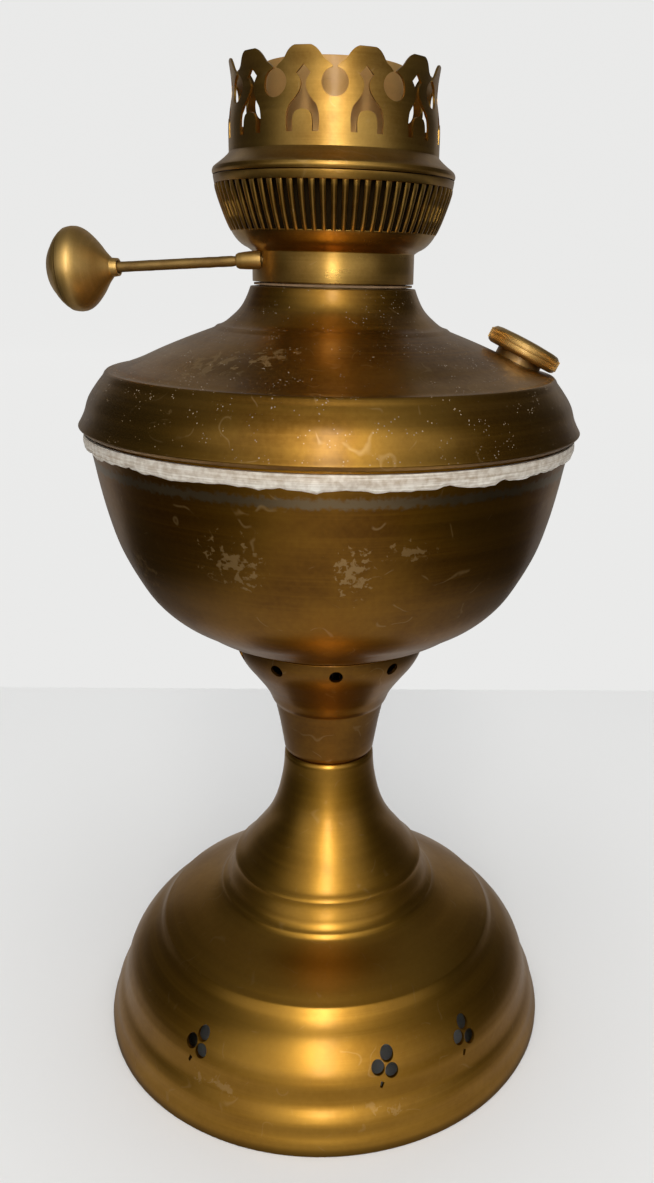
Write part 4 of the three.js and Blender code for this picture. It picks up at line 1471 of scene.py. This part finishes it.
@dataclass(frozen=True)
class Studio:
    """A pale table against a pale wall, soft light, and the camera."""

    camera_at: tuple[float, float, float] = (0.0, -0.28438, 0.23196)
    lens: float = 30.72
    sensor: float = 36.0
    shift: Point = (-0.0431, 0.0071)
    yaw: float = 2.85
    pitch: float = 18.30
    roll: float = 1.43
    table_back: float = 0.252
    table_glow: float = 0.42
    wall_glow: float = 0.26
    wall_light: float = 0.81
    room_front: float = 0.80
    room_above: float = 0.09

    def plain(self, name: str, colour: Colour, rough: float = 0.9) -> bpy.types.Material:
        """A plain pale surface."""
        made = bpy.data.materials.new(name)
        made.use_nodes = True
        shader = made.node_tree.nodes["Principled BSDF"]
        shader.inputs["Base Color"].default_value = (*colour, 1.0)
        shader.inputs["Roughness"].default_value = rough
        return made

    def mirrored_as(
        self, made: bpy.types.Material, strength: float | bpy.types.NodeSocket
    ) -> bpy.types.Material:
        """Sets how bright a pale surface's mirror image in the metal is, as in a dim room.

        Args:
            made: The surface's material.
            strength: The brightness of its image.

        Returns:
            The same material.
        """
        tree = Tree(made.node_tree)
        end = made.node_tree.nodes["Material Output"].inputs[0]
        own = end.links[0].from_socket
        # Painted reflection: glossy rays see this glow in place of the lit surface.
        dim = tree.add("ShaderNodeEmission", {"Color": (1.0, 0.98, 0.95, 1.0), "Strength": strength}).outputs[0]
        glossy = tree.add("ShaderNodeLightPath").outputs["Is Glossy Ray"]
        mixed = tree.add("ShaderNodeMixShader", {0: glossy, 1: own, 2: dim}).outputs[0]
        made.node_tree.links.new(mixed, end)
        return made

    def backdrop(self) -> bpy.types.Material:
        """An evenly lit pale wall."""
        made = self.plain("wall_white", (0.0, 0.0, 0.0))
        shader = made.node_tree.nodes["Principled BSDF"]
        shader.inputs["Emission Color"].default_value = (1.0, 1.0, 0.992, 1.0)
        shader.inputs["Emission Strength"].default_value = self.wall_light
        return self.mirrored_as(made, self.wall_glow)

    def table(self) -> bpy.types.Material:
        """A white table. Its mirror image in the metal is a painted reflection: a glow that fades to each side, with a
        painted shadow under the lamp.
        """
        made = self.plain("table_white", (0.86, 0.86, 0.855))
        tree = Tree(made.node_tree)
        place = tree.add("ShaderNodeTexCoord").outputs["Object"]
        away = tree.math("ABSOLUTE", tree.parts(place)[0])
        far = tree.add("ShaderNodeVectorMath", {0: place}, operation="LENGTH").outputs["Value"]
        # Painted reflection: glossy rays see a glow that fades to each side and is cut away under the lamp as a painted
        # shadow.
        fade = tree.ramp(away, 0.03, 0.24, self.table_glow, 0.01)
        clear = tree.ramp(far, 0.066, 0.078)
        return self.mirrored_as(made, tree.math("MULTIPLY", fade, clear))

    def build_stage(self) -> None:
        """The table's top and the cove behind it."""
        half, near, far, radius, floor, steps = 3000, -3000, 2400, 1200, -1.2, 24
        turns = [math.pi / 2 * i / steps for i in range(1, steps + 1)]
        profile = [(near, floor), (far, floor)]
        profile += [(far + radius * math.sin(a), floor + radius * (1 - math.cos(a))) for a in turns]
        profile.append((far + radius, 4000))
        points = [(x, y, z) for y, z in profile for x in (-half, half)]
        faces = [(2 * i, 2 * i + 1, 2 * i + 3, 2 * i + 2) for i in range(len(profile) - 1)]
        cove = new_object("cove", mesh_of("cove", points, faces))
        cove.data.materials.append(self.backdrop())
        cove.data.shade_smooth()
        depth, back = 1500, self.table_back / MM
        slab = block("table_top", (0, (back - depth) / 2, -0.55), (3000, depth + back, 1.1))
        top = new_object("table_top", slab)
        top.data.materials.append(self.table())

    def area(
        self,
        name: str,
        at: Sequence[float],
        aim: Sequence[float],
        size: Point,
        power: float,
        colour: Colour = (1, 1, 1),
        seen: bool = True,
    ) -> None:
        """A soft rectangular light, which the metal mirrors if it is seen."""
        light = bpy.data.lights.new(name, "AREA")
        light.shape, light.size, light.size_y = "RECTANGLE", *size
        light.energy, light.color = power, colour
        made = bpy.data.objects.new(name, light)
        made.location = at
        made.rotation_euler = (Vector(aim) - Vector(at)).to_track_quat("-Z", "Y").to_euler()
        made.visible_glossy = seen
        bpy.context.scene.collection.objects.link(made)

    def build_light(self) -> None:
        """One broad key above the camera, a fill overhead, and a dim room."""
        world = bpy.data.worlds.new("room")
        world.use_nodes = True
        tree = Tree(world.node_tree)
        background = world.node_tree.nodes["Background"]
        background.inputs[0].default_value = (0.96, 0.98, 1.0, 1.0)
        parts = tree.parts(tree.add("ShaderNodeTexCoord").outputs["Generated"])
        front = tree.ramp(tree.math("MULTIPLY", parts[1], -1.0), 0.20, 1.0, 0.02, self.room_front)
        light = tree.math("ADD", front, tree.ramp(parts[2], 0.5, 0.9, 0.0, self.room_above))
        seen = tree.add("ShaderNodeLightPath").outputs["Is Camera Ray"]
        chosen = tree.add("ShaderNodeMix", {0: seen, 2: light, 3: self.wall_light}, data_type="FLOAT").outputs[0]
        world.node_tree.links.new(chosen, background.inputs[1])
        bpy.context.scene.world = world
        self.area("key", (-0.02, -0.95, 0.62), (0, 0, 0.20), (0.17, 0.95), 4.9, (1.0, 0.98, 0.94))
        self.area("overhead", (0.0, -0.1, 1.6), (0, 0.0, 0), (2.2, 1.8), 21.0, seen=False)

    def build_camera(self) -> None:
        """The camera, level with the burner and looking down at the foot."""
        yaw, pitch, roll = (math.radians(a) for a in (self.yaw, self.pitch, self.roll))
        right = Vector((math.cos(yaw), -math.sin(yaw), 0))
        ahead = Vector((math.sin(yaw) * math.cos(pitch), math.cos(yaw) * math.cos(pitch), -math.sin(pitch)))
        up = Vector((math.sin(yaw) * math.sin(pitch), math.cos(yaw) * math.sin(pitch), math.cos(pitch)))
        side = right * math.cos(roll) + up * math.sin(roll)
        top = up * math.cos(roll) - right * math.sin(roll)
        data = bpy.data.cameras.new("camera")
        data.lens, data.sensor_width = self.lens, self.sensor
        data.shift_x, data.shift_y = self.shift
        data.clip_start, data.clip_end = 0.01, 20.0
        camera = bpy.data.objects.new("camera", data)
        turn = Matrix((side, top, -ahead)).transposed().to_4x4()
        camera.matrix_world = Matrix.Translation(self.camera_at) @ turn
        bpy.context.scene.collection.objects.link(camera)
        bpy.context.scene.camera = camera

    def build(self) -> None:
        """Builds the stage, the lights and the camera."""
        self.build_stage()
        self.build_light()
        self.build_camera()
        bpy.context.scene.view_settings.view_transform = "Standard"


def main() -> None:
    """Builds the lamp and the studio round it."""
    logging.basicConfig(level=logging.INFO, format="%(name)s: %(message)s")
    shop = Workshop()
    for part in (Foot(), Font(), Burner(), Winder(), Gallery()):
        part.build(shop)
    dress_kept_nodes(shop)
    Studio().build()


if __name__ == "__main__":
    main()
